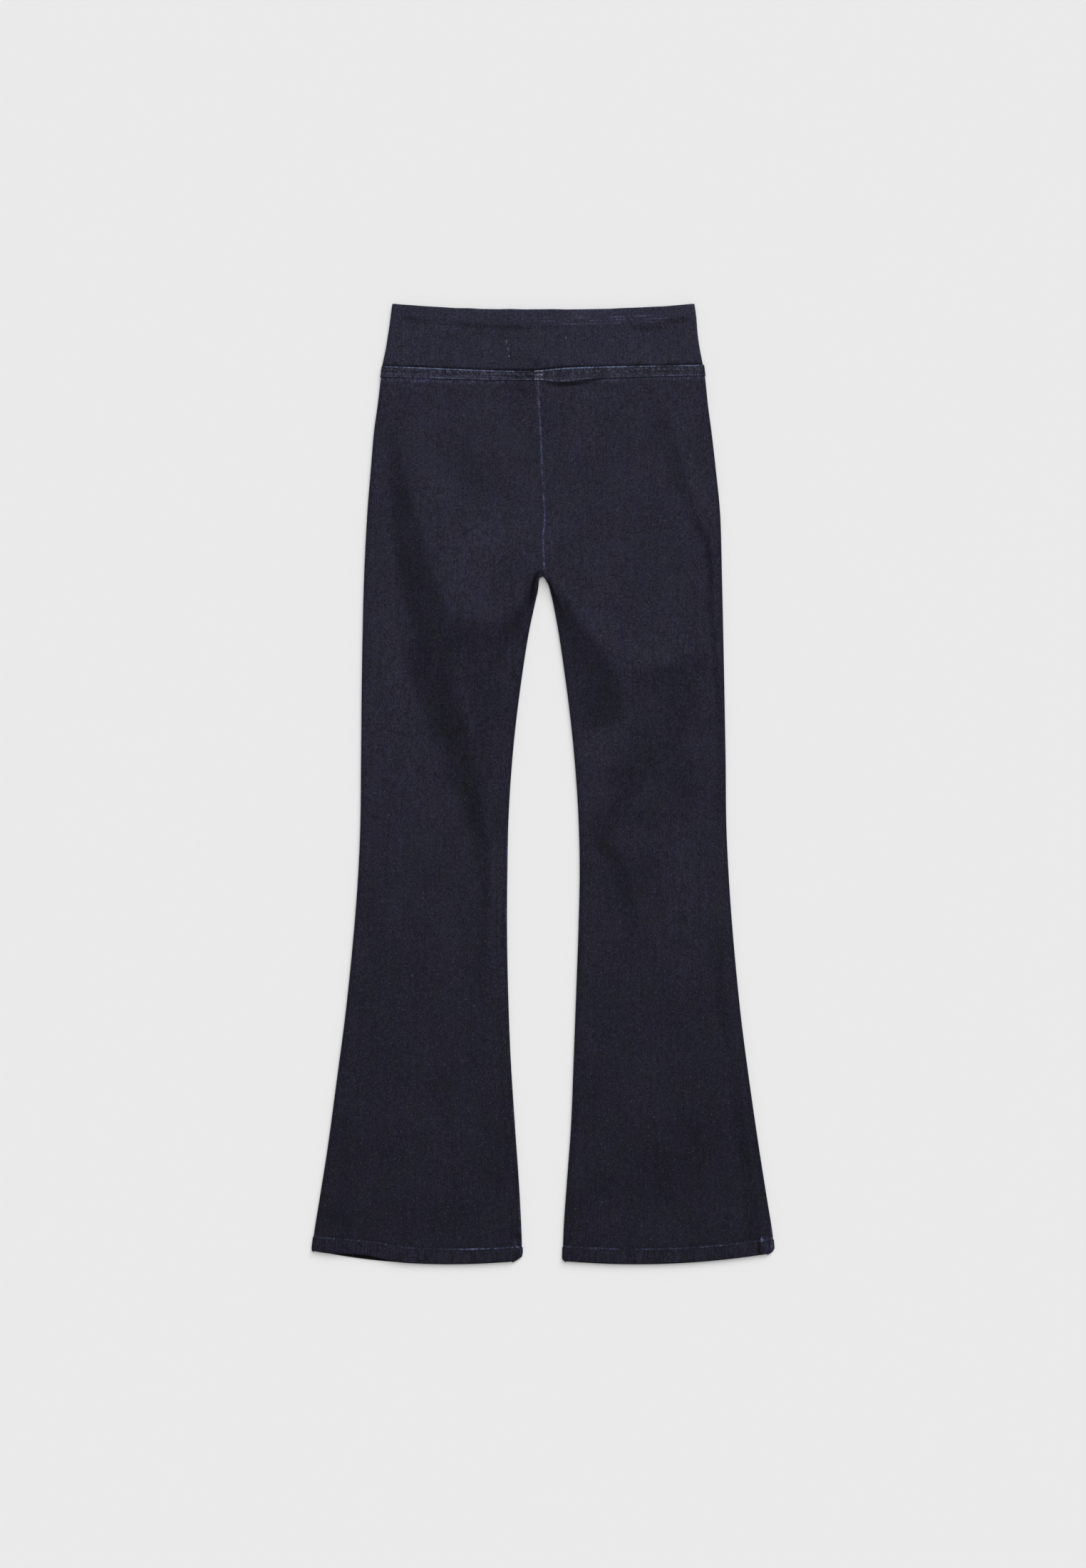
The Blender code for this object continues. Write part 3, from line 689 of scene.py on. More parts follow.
def fold_height(folds, x, down):
    """How far folds raise or lower the cloth at each place."""
    height = np.zeros(x.shape)
    for fold in folds:
        table = np.array(fold, float)
        steps = np.hypot(*np.diff(table[:, :2], axis=0).T)
        along = joined([0], np.cumsum(steps))
        at = np.linspace(0, along[-1], int(along[-1] / FOLD_STEP) + 4)
        path = np.stack([curve(along, values, at) for values in table.T], axis=1)
        reach = 2 * table[:, 2:4].max()
        low = path.min(axis=0) - reach
        high = path.max(axis=0) + reach
        near = (x > low[0]) & (x < high[0]) & (down > low[1]) & (down < high[1])
        near_x = x[near]
        near_down = down[near]
        nearest = np.full(near_x.shape, np.inf)
        value = np.zeros(near_x.shape)
        for start, end in zip(path, path[1:]):
            step_x, step_down = end[:2] - start[:2]
            from_x = near_x - start[0]
            from_down = near_down - start[1]
            part = (from_x * step_x + from_down * step_down) / (step_x**2 + step_down**2)
            part = np.clip(part, 0, 1)
            off_x = from_x - part * step_x
            off_down = from_down - part * step_down
            distance = np.hypot(off_x, off_down)
            left, right, rise = (start + part[:, None] * (end - start)).T[2:]
            width = np.where(step_x * off_down - step_down * off_x > 0, right, left)
            closer = distance < nearest
            nearest = np.where(closer, distance, nearest)
            value = np.where(closer, rise * hill(distance, np.maximum(width, 0.5), 2.5), value)
        height[near] += value
    return height


# A soft patch of the cloth: its middle, its reach across and along, and its strength.
Patch = namedtuple("Patch", "x down across along strength")


def patched(patch, x, down):
    """A patch's strength over the cloth, greatest in its middle."""
    across = (x - patch.x) / patch.across
    return patch.strength * np.exp(-(across**2) - ((down - patch.down) / patch.along) ** 2)


# The four seams that meet at the crotch hold the cloth a little off the surface.
CROTCH_RISE = Patch(0, 300, 22, 26, 6.0)


def edge_ridge(inset, height):
    """The step of the seam allowance along an edge, and the cloth's drop at the edge."""
    step = 1 - ease((inset - SEAM_ALLOWANCE) / 2.0)
    return height * step - EDGE_DROP * (1 - ease(inset / EDGE_INSET))


def leg_face(side, lay):
    """The height of a front leg's outer face, and how far folds and creases move it."""
    x, down, above_hem, outer_inset, inner_inset = lay[:5]
    below_crotch = ease((down - CROTCH_DOWN) / CROTCH_BLEND)
    off_strip = ease(below_strip(x, down) / STRIP_FADE)
    ridge = off_strip * edge_ridge(outer_inset, 0.22)
    ridge = ridge + below_crotch * edge_ridge(inner_inset, 0.30)
    if side == "right":
        # Both allowances of the centre seam are turned to the right.
        ridge = ridge + (1 - below_crotch) * 0.42 * (1 - ease((inner_inset - 8.5) / 3))
    inset = np.minimum(outer_inset, mix(outer_inset, inner_inset, below_crotch))
    at_edge = mix(0.35, 1.0, ease(inset / 16))
    folds = fold_height(FOLDS, x, down)
    waves = 0.22 * swell(x, down, 34, 62, 5) + 0.10 * swell(x, down, 15, 24, 6)
    creases = fold_height(CREASES, x, down)
    cloth = laid_top(x, down) + ridge + (folds + waves) * at_edge * off_strip
    cloth = cloth + patched(CROTCH_RISE, x, down)
    cloth = np.maximum(cloth, LOWEST_FRONT) + creases
    # The doubled hem is stiffer and lies flatter, and ropes along its groove of stitches.
    hem = HEM_TOP + (cloth - FRONT_TOP) * 0.6
    in_hem = ease(HEM_HEIGHT - above_hem)
    groove = 0.45 * hill(above_hem - HEM_HEIGHT, 0.9)
    rope = np.sin((x + above_hem * 0.8) * 2 * math.pi / 9.5 + 2.5 * swell(x, down, 30, 60, 9))
    pucker = 0.10 * rope * in_hem * ease(above_hem / 3)
    pucker = pucker + 0.10 * hill(above_hem - HEM_HEIGHT - 4, 4) * ripple(x, 5.5, 8)
    return mix(cloth, hem, in_hem) - groove + pucker, folds, creases


# How light the cloth is along the legs, darker towards the hems.
Lightness = namedtuple("Lightness", "down light")
LIGHTNESS = rows_of(
    Lightness,
    (66, 1.0), (200, 1.0), (420, 0.98), (560, 0.88), (660, 0.80), (820, 0.69), (900, 0.655),
    (1052, 0.65),
)

# Lighter and darker patches, in per cent: partly the wash's mottled dye, partly painted shade in
# the folds' hollows and painted light on their tops.
MOTTLE_AND_SHADING = rows_of(
    Patch,
    (-62, 258, 28, 30, 26), (-112, 205, 26, 22, 14), (-9, 208, 13, 16, 16),
    (-15, 240, 16, 12, 10), (-72, 120, 26, 20, 14), (-54, 155, 18, 32, 12),
    (-145, 85, 24, 20, 8), (-95, 155, 15, 15, -10), (-98, 178, 12, 16, -8),
    (-160, 172, 14, 16, -8), (-95, 312, 20, 14, 12), (-48, 318, 12, 16, -12),
    (-157, 220, 9, 30, -10), (-152, 290, 10, 22, -9), (-188, 325, 14, 26, -5),
    (-150, 320, 14, 26, -10), (-112, 432, 13, 30, -19), (-99, 478, 9, 22, -10),
    (-144, 430, 7, 18, 12), (-110, 492, 8, 14, 10), (-103, 325, 14, 16, -6),
    (-135, 148, 18, 20, 5), (-105, 231, 20, 7, 6), (-82, 365, 34, 20, -7),
    (-75, 355, 26, 12, -14), (-138, 390, 14, 22, -14), (-78, 400, 26, 22, 12),
    (-2, 296, 4, 3, -30), (-9.5, 318, 6, 20, -30), (-24, 360, 11, 26, -22),
    (-30, 430, 10, 36, -20), (-44, 485, 14, 24, -14), (-103, 518, 15, 14, -26),
    (-80, 560, 14, 16, -18), (-180, 575, 22, 26, -7), (-142, 274, 8, 10, 6),
    (-107, 490, 7, 12, 7), (-118, 580, 12, 20, 10), (-48, 640, 14, 40, 20),
    (-58, 610, 12, 16, 10), (-145, 710, 26, 20, 8), (-88, 735, 10, 20, 8),
    (-43, 755, 12, 22, 20), (-39, 765, 5, 34, 10), (-120, 780, 26, 24, 10),
    (-205, 838, 14, 16, 12), (-62, 845, 26, 12, 10), (-126, 892, 18, 20, 20),
    (-72, 918, 14, 18, 13), (-42, 942, 10, 16, 12), (-190, 935, 30, 26, -6),
    (-216, 893, 16, 6, -14), (-228, 1000, 22, 15, -20), (-150, 1003, 56, 20, -14),
    (-136, 975, 14, 12, -10), (-74, 985, 14, 12, -10), (54, 103, 22, 22, 24),
    (44, 153, 18, 16, 16), (86, 197, 22, 14, 12), (145, 152, 22, 20, 12),
    (168, 185, 14, 20, 14), (20, 165, 8, 20, -6), (128, 180, 12, 14, -10),
    (50, 232, 18, 14, -10), (92, 238, 24, 14, -7), (26, 240, 14, 14, 12),
    (126, 280, 20, 28, -11), (58, 325, 12, 18, -6), (-8, 210, 14, 10, 6), (10, 242, 13, 12, 6),
    (72, 110, 22, 14, 5), (55, 376, 8, 15, 9), (165, 229, 6, 16, 9), (46, 470, 9, 9, -10),
    (57, 535, 9, 9, -8), (124, 432, 12, 12, -6), (44, 568, 6, 24, 12), (19, 345, 8, 24, -22),
    (30, 318, 12, 14, 7), (34, 388, 9, 30, -18), (108, 335, 22, 22, 10), (100, 398, 20, 16, 20),
    (150, 385, 18, 16, 14), (92, 430, 20, 12, -14), (70, 462, 34, 8, -14),
    (100, 470, 10, 18, -16), (135, 470, 14, 14, 14), (60, 490, 18, 14, 14),
    (78, 515, 13, 14, -24), (148, 525, 24, 34, -28), (108, 560, 22, 14, -26),
    (62, 572, 16, 22, -26), (143, 588, 15, 18, 14), (184, 553, 9, 12, 12),
    (108, 622, 18, 26, -24), (76, 655, 18, 18, -10), (165, 662, 28, 34, 20),
    (50, 722, 14, 16, 20), (185, 740, 13, 14, 16), (162, 768, 14, 14, 10),
    (98, 786, 12, 14, 12), (115, 838, 16, 24, 18), (44, 800, 10, 30, 10), (82, 815, 12, 16, -8),
    (160, 860, 18, 30, -8), (212, 890, 12, 40, 10), (205, 812, 10, 16, 12),
    (160, 932, 42, 22, -17), (84, 945, 12, 14, 12), (114, 932, 10, 14, 10),
    (95, 975, 46, 14, -12), (160, 980, 26, 24, -10), (70, 962, 15, 10, -14),
    (58, 1026, 16, 14, -14), (34, 992, 10, 18, -14), (102, 1018, 10, 16, 12),
    (224, 978, 8, 26, 14),
)

# Where the turned hems have rubbed palest at their stitches: a place and a reach along x.
Rub = namedtuple("Rub", "x reach strength")
RUBS = {
    "left": rows_of(
        Rub,
        (-236, 20, 0.24), (-150, 12, 0.12), (-96, 6, 0.32), (-88, 3, 0.25), (-78, 5, 0.48),
        (-70, 7, 0.50), (-50, 4, 0.44), (-33, 2, 0.40), (-26, 4, 0.60),
    ),
    "right": rows_of(
        Rub,
        (30, 7, 0.16), (52, 20, 0.14), (62, 4, 0.40), (76, 7, 0.26), (112, 4, 0.34),
        (122, 4, 0.34), (143, 4, 0.38), (160, 12, 0.20), (198, 4, 0.44), (225, 2, 0.30),
        (240, 2, 0.90),
    ),
}
# The outseam's allowance shows as a flap at the right hem's corner, with a pale spot on its
# fold, and the left hem's inner corner has rubbed.
FLAP_X = 238.5
FLAP_DOWN = 1016
FLAP_SPOT = Patch(239.6, 1024, 1.3, 2.2, 0.9)
CORNER_RUB = Patch(-27, 1030, 6, 5, 0.35)
SEAM_STITCHES_END = 290
INSEAM_RUBBED_FROM = 470
OUTSEAM_RUBBED_FROM = 1005
ALLOWANCE_SHOWS_FROM = 330
# Where the hems' lower edges turn away from the light.
SHADED_FROM = {"left": -140, "right": 45}
SHADED_TO = 160

front_denim = denim("front_denim", INDIGO, VIOLET, DEEP_BLUE, WORN_BLUE, (0.0, 0.0, 0.0))

for side in ("left", "right"):
    columns = edge_columns(EDGE_ROUND, RIM_TUCK, 70, 7, EDGE_DENSE, 18)
    rows = leg_rows(side, 3.4, 0.8)
    lay = leg_layout(side, True, columns, rows)
    face, folds, creases = leg_face(side, lay)
    points = leg_points(columns, rows, lay, face, 1, 1.4, 7)
    x, down, above_hem, outer_inset, inner_inset = lay[:5]
    drop = rows.drop[:, None]
    below_crotch = ease((down - CROTCH_DOWN) / CROTCH_BLEND)
    from_stitches = above_hem - HEM_HEIGHT

    # The centre seam's broken pale line, and the rubbed edge of the inseam.
    seam_line = hill(inner_inset, 1.25 if side == "right" else 0.5)
    seam_line = seam_line * (1 - ease((down - SEAM_STITCHES_END) / 3))
    dashes = 0.66 + 0.44 * ripple(down, 2.6, 21) + 0.25 * ripple(down, 19, 22)
    worn = seam_line * np.clip(dashes, 0.1, 1)
    inseam = hill(inner_inset - 1.2, 0.8) * ease((down - INSEAM_RUBBED_FROM) / 80)
    rubbed = ease(0.2 + 0.9 * ripple(down, 11, 23) + 0.3 * ripple(down, 3, 24))
    worn = worn + (0.34 if side == "left" else 0.06) * inseam * rubbed
    # The hem's stitches.
    streak = 0.23 + 0.20 * ripple(x, 6, 31) + 0.10 * ripple(x, 1.8, 32)
    broken = ease(0.6 + 0.9 * ripple(x, 3.0, 33))
    for rub in RUBS[side]:
        streak = streak + rub.strength * hill(x - rub.x, rub.reach) * broken
    worn = worn + hill(from_stitches - 0.5, 0.85) * (drop == 0) * np.clip(streak, 0, 1)
    # A bluish line just below the strip, faded in the middle as painted shade under the strip's
    # edge, and the rubbed corners of the hems.
    blued = 0.30 + 0.14 * ripple(x, 16, 36) - 0.28 * hill(x - 8, 48, 4)
    worn = worn + blued * hill(below_strip(x, down) - 1.9, 2.0)
    if side == "right":
        flap = ease((x - FLAP_X) / 1.5) * ease((down - FLAP_DOWN) / 5)
        worn = worn + 0.12 * flap + patched(FLAP_SPOT, x, down)
        worn = worn + 0.25 * hill(outer_inset - 1.5, 1.0) * ease((down - OUTSEAM_RUBBED_FROM) / 8)
    else:
        broken = ease(0.5 + 1.2 * swell(x + down, x - down, 5, 2.5, 34))
        worn = worn + patched(CORNER_RUB, x, down) * broken

    tone_and_shade = read(LIGHTNESS, "light", down)
    for shade in MOTTLE_AND_SHADING:
        tone_and_shade = tone_and_shade * (1 + patched(shade, x, down) / 100)
    in_hem = ease((HEM_HEIGHT - above_hem) / 1.5)
    shaded_hem = np.minimum((x - SHADED_FROM[side]) / 20, (SHADED_TO - x) / 30)
    allowance_edge = hill(inner_inset - SEAM_ALLOWANCE - 1.0, 1.0)
    allowance_edge = allowance_edge * ease((down - ALLOWANCE_SHOWS_FROM) / 60)
    for darker in (
        # Painted shade on the rounded edges at the outseam and the inseam.
        0.22 * hill(outer_inset, 4.0),
        0.25 * hill(inner_inset, 5.0) * below_crotch,
        # Painted shade in the hollows of folds and in creases, and a painted highlight on the
        # tops of folds.
        0.42 * (1 - np.exp(np.minimum(folds, 0) / 0.9)) - 0.06 * ease(folds / 1.4),
        0.75 * ease(-creases / 1.2),
        # Darker just above the hem's stitches, and painted shade in their groove.
        0.14 * hill(from_stitches - 3.0, 2.2),
        0.34 * hill(from_stitches + 0.9, 0.7),
        # Painted shade on the hem's lower edge, where it turns away from the light, and inside
        # the hem; the hem's face a little lighter.
        0.34 * ease(shaded_hem) * hill(above_hem, 1.3),
        0.30 * ease(1 - above_hem / 3.5) - 0.07 * in_hem,
        0.5 * ease(drop - HEM_ROUND),
        # Painted shade beside the step of the inseam's allowance, and darker at the left of the
        # centre seam.
        (0.12 if side == "left" else 0.05) * allowance_edge,
        (0.08 if side == "left" else 0.0) * hill(inner_inset, 5.0) * (1 - below_crotch),
    ):
        tone_and_shade = tone_and_shade * (1 - darker)
    marks = {"tone_and_shade": tone_and_shade, "worn": np.clip(worn, 0, 1), "ribbed": 1.5 * in_hem}
    piece = cloth_sheet(f"cloth_front_{side}", points, 1, marks, front_denim)
    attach(piece, "root")
    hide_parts(f"front_{side}_leg")


# ---- Waist seam strip ------------------------------------------------------------------
# The seam allowances of waistband and legs, overlocked together, turned down and sewn flat
# on the legs. The fold at its upper edge has worn pale.

STRIP_REACH = 0.8
# The level of the waist seam's ends.
SEAM_ENDS = 68.0
# The strip's height on the whole, and at the bar-tack, which lies between two places.
STRIP_HEIGHT = 12.0
TACK_HEIGHT = 12.5
TACK_START = -9.8
TACK_END = 2.0


def strip_edges(down):
    """The left and right edge of the strip, which goes round outside the legs."""
    return read(OUTSIDE, "left", down) - STRIP_REACH, read(OUTSIDE, "right", down) + STRIP_REACH


def strip_relief(x, part):
    """The height of the strip's face over its plain form: beads at its edges, and ribs."""
    bead = 0.32 * hill(part - 0.05, 0.05)
    lower = 0.22 * hill(part - 0.90, 0.08) * (0.6 + 0.4 * ripple(x, 20, 41))
    ribs = 0.12 * np.sin(x * 2 * math.pi / 2.6 + 1.5 * ripple(x, 40, 42))
    ribs = ribs * hill(part - 0.5, 0.35, 4)
    # The centre seam's allowances cross under the strip.
    crossing = 0.55 * ease((x + 10.2) / 1.6) * ease((6.0 - x) / 2.5)
    lumps = 0.15 * swell(x, part * STRIP_HEIGHT, 6, 5, 43)
    needle = 0.25 * hill(part - 0.62, 0.035)
    return bead + lower + ribs + crossing + lumps - needle - 0.12


def strip_point(share, shift, climb, part, front):
    """Points of the strip: x, down and z."""
    left, right = strip_edges(SEAM_ENDS)
    seam_x = mix(left, right, share) + shift
    down = mix(read(WAIST, "seam", seam_x) + 0.15, read(WAIST, "strip_edge", seam_x), part)
    left, right = strip_edges(down)
    x = mix(left, right, share) + shift
    middle = (STRIP_LIFT + WAIST_TOP) / 2
    rounding = 0.5 * (1 - ease(part / 0.05)) + 0.5 * (1 - ease((1 - part) / 0.05))
    if front:
        face = WAIST_TOP + STRIP_LIFT + strip_relief(x, part) - rounding
        rim = middle + HALF_GAP
        z = rim + (face - rim) * climb
    else:
        rim = middle - HALF_GAP
        z = rim * (1 - climb) + rounding * 0.6 * climb
    return x, down, z


PALE_BLUE = (0.135, 0.160, 0.265)
# The runs along the strip that have worn lighter or stayed darker.
Run = namedtuple("Run", "start end light")
RUNS = rows_of(
    Run,
    (-156, -109, 0.22), (-98, -46, 0.22), (-43, -34, 0.08), (-31, -9, -0.22), (-9, 15, 0.10),
    (24, 56, 0.26), (68, 98, 0.24), (103, 122, 0.16), (148, 172, 0.20),
)
strip_denim = denim(
    "strip_denim",
    (0.0205, 0.0205, 0.0330),
    (0.0228, 0.0205, 0.0330),
    (0.0210, 0.0205, 0.0355),
    PALE_BLUE,
    (1.3, 0.2, 0.9),
)
for face_name, front in (("back", False), ("front", True)):
    columns = edge_columns(EDGE_ROUND + STRIP_LIFT, 0.5, 330 if front else 120, 6)
    share, shift, climb = columns[:3]
    if front:
        part = joined(np.linspace(0, 0.16, 9), np.linspace(0.16, 1, 19)[1:])[:, None]
    else:
        part = np.linspace(0, 1, 8)[:, None]
    part = part + 0 * share[None, :]
    x, down, z = strip_point(share, shift, climb, part, front)
    points = placed(x, down, z)
    run = -0.13 + 1.5 * sum(
        run.light * ease((x - run.start) / 4 + 0.5) * ease((run.end - x) / 4 + 0.5)
        for run in RUNS
    )
    # The pale worn fold at the upper edge, a fainter one at the lower, and streaks between.
    line = 0.64 - 0.12 * ease((x - 10) / 30) + 1.2 * run
    line = line + 0.28 * ripple(x, 2.4, 51) + 0.26 * ripple(x, 12, 55)
    worn = hill(part - 0.06, 0.055) * np.clip(line, 0.25, 1)
    lower_line = 0.20 + 0.16 * ripple(x, 25, 52) + 0.10 * ripple(x, 3, 56)
    worn = worn + np.clip(lower_line, 0, 1) * hill(part - 0.91, 0.09)
    streaks = np.clip(0.10 + 0.45 * swell(x, part * STRIP_HEIGHT, 30, 2.2, 57), 0, 1)
    streaks = streaks * ease((part - 0.45) / 0.2) * ease((1 - x / 80) * 0.8)
    worn = worn + 0.5 * streaks
    tack = ease((x - TACK_START) / 1.2) * ease((TACK_END - x) / 1.2)
    dents = hill(x - TACK_START + 0.5, 0.9) + hill(x - TACK_END - 0.4, 0.9)
    worn = (worn + 0.10 * tack) * (1 - 0.8 * dents)
    # Tone along the runs, with painted shade below the upper fold's bead and in the needle dents
    # beside the bar-tack.
    tone_and_shade = 1.04 + 1.1 * run + 0.24 * swell(x, part * STRIP_HEIGHT, 0.9, 1.4, 54)
    tone_and_shade = tone_and_shade * (1 - 0.35 * hill(part - 0.17, 0.05)) * (1 - 0.3 * dents)
    marks = {"tone_and_shade": tone_and_shade, "worn": np.clip(worn, 0, 1), "ribbed": 1.6 + 0 * x}
    piece = cloth_sheet(f"strip_{face_name}", points, 1 if front else -1, marks, strip_denim)
    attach(piece, "root")
    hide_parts(f"waist_seam_strip_{face_name}")


def thread(name, paths, radius, material, sides=5):
    """Threads along lists of points, as round cords with closed ends, in one object."""
    places = []
    faces = []
    start = 0
    turn = np.arange(sides) * 2 * math.pi / sides
    for path in paths:
        path = np.asarray(path, float)
        ahead = np.gradient(path, axis=0)
        ahead = ahead / np.maximum(np.linalg.norm(ahead, axis=1, keepdims=True), 1e-9)
        beside = np.cross(ahead, (0.0, 0.0, 1.0))
        beside = beside / np.maximum(np.linalg.norm(beside, axis=1, keepdims=True), 1e-9)
        over = np.cross(beside, ahead)
        cosines, sines = np.cos(turn)[None, :, None], np.sin(turn)[None, :, None]
        ring = cosines * beside[:, None] + sines * over[:, None]
        places.append((path[:, None] + radius * ring).reshape(-1, 3))
        last = start + (len(path) - 1) * sides
        for base in range(start, last, sides):
            for corner in range(sides):
                near, far = base + corner, base + (corner + 1) % sides
                faces.append((near, far, far + sides, near + sides))
        faces.append(tuple(range(start + sides - 1, start - 1, -1)))
        faces.append(tuple(range(last, last + sides)))
        start = last + sides
    mesh = bpy.data.meshes.new(name)
    mesh.from_pydata((joined(*places) * MM).tolist(), [], faces)
    mesh.polygons.foreach_set("use_smooth", np.ones(len(mesh.polygons), bool))
    mesh.materials.append(material)
    piece = added(name, mesh)
    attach(piece, "root")
    return piece


def spun(name, colour, pale):
    """Spun sewing thread, lighter where it has rubbed."""
    material, cord, shader = new_material(name)
    place = cord.node("TexCoord", {}, {}, "Object")
    rub = cord.node("TexNoise", {}, {"Vector": place, "Scale": 420.0, "Detail": 2.0})
    inputs = {0: rub, 1: 0.44, 2: 0.64, 3: 0.0, 4: 1.0}
    rub = cord.node("MapRange", {"interpolation_type": "SMOOTHSTEP"}, inputs)
    inputs = {0: rub, 6: (*colour, 1.0), 7: (*pale, 1.0)}
    shade = cord.node("Mix", {"data_type": "RGBA"}, inputs, 2)
    cord.fill(shader, {"Base Color": shade, "Roughness": 0.8, "Specular IOR Level": 0.2})
    return material


def on_strip(along, part):
    """Points on the strip's front face, along it in x and down it by a part of its height."""
    left, right = strip_edges(SEAM_ENDS)
    share = (along - left) / (right - left)
    x, down, z = strip_point(share, 0 * along, np.ones(len(along)), part, True)
    return placed(x, down, z)


# The overlock's loops: two needle strands and one looper strand, which stop at the bar-tack.
looper_thread = spun("looper_thread", (0.013, 0.014, 0.023), (0.078, 0.080, 0.124))
STITCH = 1.9
LOOP_RUNS = ((-173.0, -10.5), (3.0, 174.5))
Strand = namedtuple("Strand", "phase low high")
STRANDS = rows_of(Strand, (0.0, 0.13, 0.60), (0.5, 0.13, 0.60), (0.25, 0.55, 0.86))
paths = []
for strand in STRANDS:
    for start, end in LOOP_RUNS:
        walk = np.arange(start, end, STITCH / 8)
        phase = walk / STITCH + strand.phase + 0.2 * ripple(walk, 9, 61)
        reach = 0.78 + 0.22 * ripple(walk + 60 * strand.phase, 5, 62)
        swing = (strand.high - strand.low) / 2 * reach * np.sin(2 * math.pi * phase)
        part = (strand.low + strand.high) / 2 + swing
        places = on_strip(walk + 0.4 * np.sin(4 * math.pi * phase), part)
        places[:, 2] += 0.12 + 0.10 * np.cos(4 * math.pi * phase + strand.phase)
        paths.append(places)
loops = thread("strip_loops", paths, 0.19, looper_thread)

# The bar-tack where the four pieces meet, and the first stitches of the centre seam.
tack_thread = spun("tack_thread", (0.085, 0.083, 0.115), (0.33, 0.31, 0.39))
# Each rung runs across the strip at a part of its height, zigzagging over a width.
Rung = namedtuple("Rung", "start end part width")
RUNGS = rows_of(
    Rung,
    (-8.8, 0.8, 0.09, 1.4), (-5.8, 0.7, 0.43, 2.1), (-9.0, -5.4, 0.45, 0.7),
    (-6.4, 0.8, 0.87, 0.8),
)
CENTRE_STITCHES = 12
CENTRE_STITCH_FROM = 84.0
CENTRE_STITCH = 2.3
paths = []
for rung in RUNGS:
    turns = int((rung.end - rung.start) / 0.75)
    walk = np.linspace(0, 1, turns * 6 + 1)
    swing = rung.width / 2 * np.sin(2 * math.pi * walk * turns) / TACK_HEIGHT
    places = on_strip(mix(rung.start, rung.end, walk), rung.part + swing)
    places[:, 2] += 0.22 + 0.05 * np.cos(2 * math.pi * walk * turns)
    paths.append(places)
for number in range(CENTRE_STITCHES):
    down = CENTRE_STITCH_FROM + number * CENTRE_STITCH + np.array([0, 0.6, 1.2])
    x = read(BETWEEN, "centre", down) - 0.9 + 0.4 * (number % 2)
    x = x - 1.8 * math.exp(-((number / 3) ** 2))
    paths.append(placed(x, down, np.array([4.75, 5.05, 4.75])))
tack = thread("bar_tack", paths, 0.27, tack_thread)


# ---- Waistband -------------------------------------------------------------------------
# A wide band of the same denim, folded double at its top edge round a soft elastic whose
# lower edge shows as a faint line, and joined to the legs at the waist seam.

BAND_OUTSIDE = rows_of(
    Outside,
    (0, -164.0, 165.6), (16, -166.0, 167.8), (34, -168.6, 169.2), (50, -171.2, 171.6),
    (60, -173.4, 173.6), (72, -176.0, 176.0),
)
TOP_DIP = 6.2
BAND_TOP = 5.9
BAND_INSIDE = 3.0
BAND_ROUND = 2.6
BAND_CLOTH = 0.8

# The band's wall from its top edge to the seam.
BandWall = namedtuple("BandWall", "part wall")
BAND_WALL = rows_of(
    BandWall,
    (0.0, 2.75), (0.10, 3.0), (0.24, 2.95), (0.31, 2.75), (0.36, 2.70), (0.45, 2.75),
    (0.70, 2.85), (0.90, 2.75), (0.965, 2.45), (1.0, 1.6),
)
BAND_FOLDS = (
    (
        (-163, 14, 4, 4, 0), (-152, 15.5, 3, 4, -0.42), (-134, 18.5, 3, 4, -0.42),
        (-103, 21.8, 2.5, 4, -0.46), (-62, 25.4, 2.5, 4, -0.50), (-18, 25.6, 2.5, 4, -0.38),
        (30, 26, 2.5, 3.5, -0.2), (62, 26, 2.5, 3.5, -0.2), (98, 26, 3, 4, -0.4),
        (124, 27, 3.5, 5, -0.66), (146, 25, 4, 4, 0),
    ),
    ((-150, 17, 9, 9, 0), (-140, 19, 10, 8, -0.15), (-120, 22, 9, 6, 0)),
    (
        (112, 22, 4, 4, 0), (136, 18.5, 4, 4, -0.62), (158, 18.5, 4, 4, -0.66),
        (168, 20, 4, 4, 0),
    ),
    ((-60, 12, 8, 6, 0), (0, 15, 10, 7, 0.25), (70, 14, 9, 7, 0)),
    ((-14, 64, 4, 4, 0), (-8.6, 66, 5, 5, -0.6), (-2, 68, 4, 4, 0)),
)


def band_points(share, shift, climb, part, drop, facing):
    """Points of the waistband: x, down and z, from its outer face over the top to inside."""
    top = TOP_DIP * (1 - np.abs(2 * share - 1) ** 2.6) + 0.35 * ripple(share * 340, 16, 61)
    left, right = BAND_OUTSIDE[-1].left, BAND_OUTSIDE[-1].right
    seam_x = mix(left, right, share) + shift
    down = mix(top, read(WAIST, "seam", seam_x) - 0.15, part)
    left = read(BAND_OUTSIDE, "left", down)
    right = read(BAND_OUTSIDE, "right", down)
    x = mix(left, right, share) + shift
    wall = read(BAND_WALL, "wall", part)
    if facing > 0:
        waves = 0.16 * swell(x, down, 38, 20, 62) + 0.08 * swell(x, down, 9, 30, 63)
        dents = fold_height(BAND_FOLDS, x, down) + waves * ease(part / 0.1)
        face = BAND_INSIDE + wall + dents
    else:
        dents = 0 * x
        face = np.maximum(2.6 - wall, 0.0) * (part < 0.9)
    rim = BAND_TOP / 2 + facing * HALF_GAP
    z = rim + (face - facing * drop - rim) * climb
    return x, down, z, dents


# Lighter and darker patches of the band, in per cent: partly mottled dye and partly painted light
# and shade.
BAND_MOTTLE_AND_SHADING = rows_of(
    Patch,
    (20, 12, 60, 9, 16), (45, 10, 22, 8, 14), (80, 8, 20, 5, 10), (-75, 10, 20, 5, 12),
    (-60, 47, 50, 10, 7), (60, 40, 14, 22, -16), (125, 36, 34, 16, -7), (-12, 66, 16, 6, -16),
)
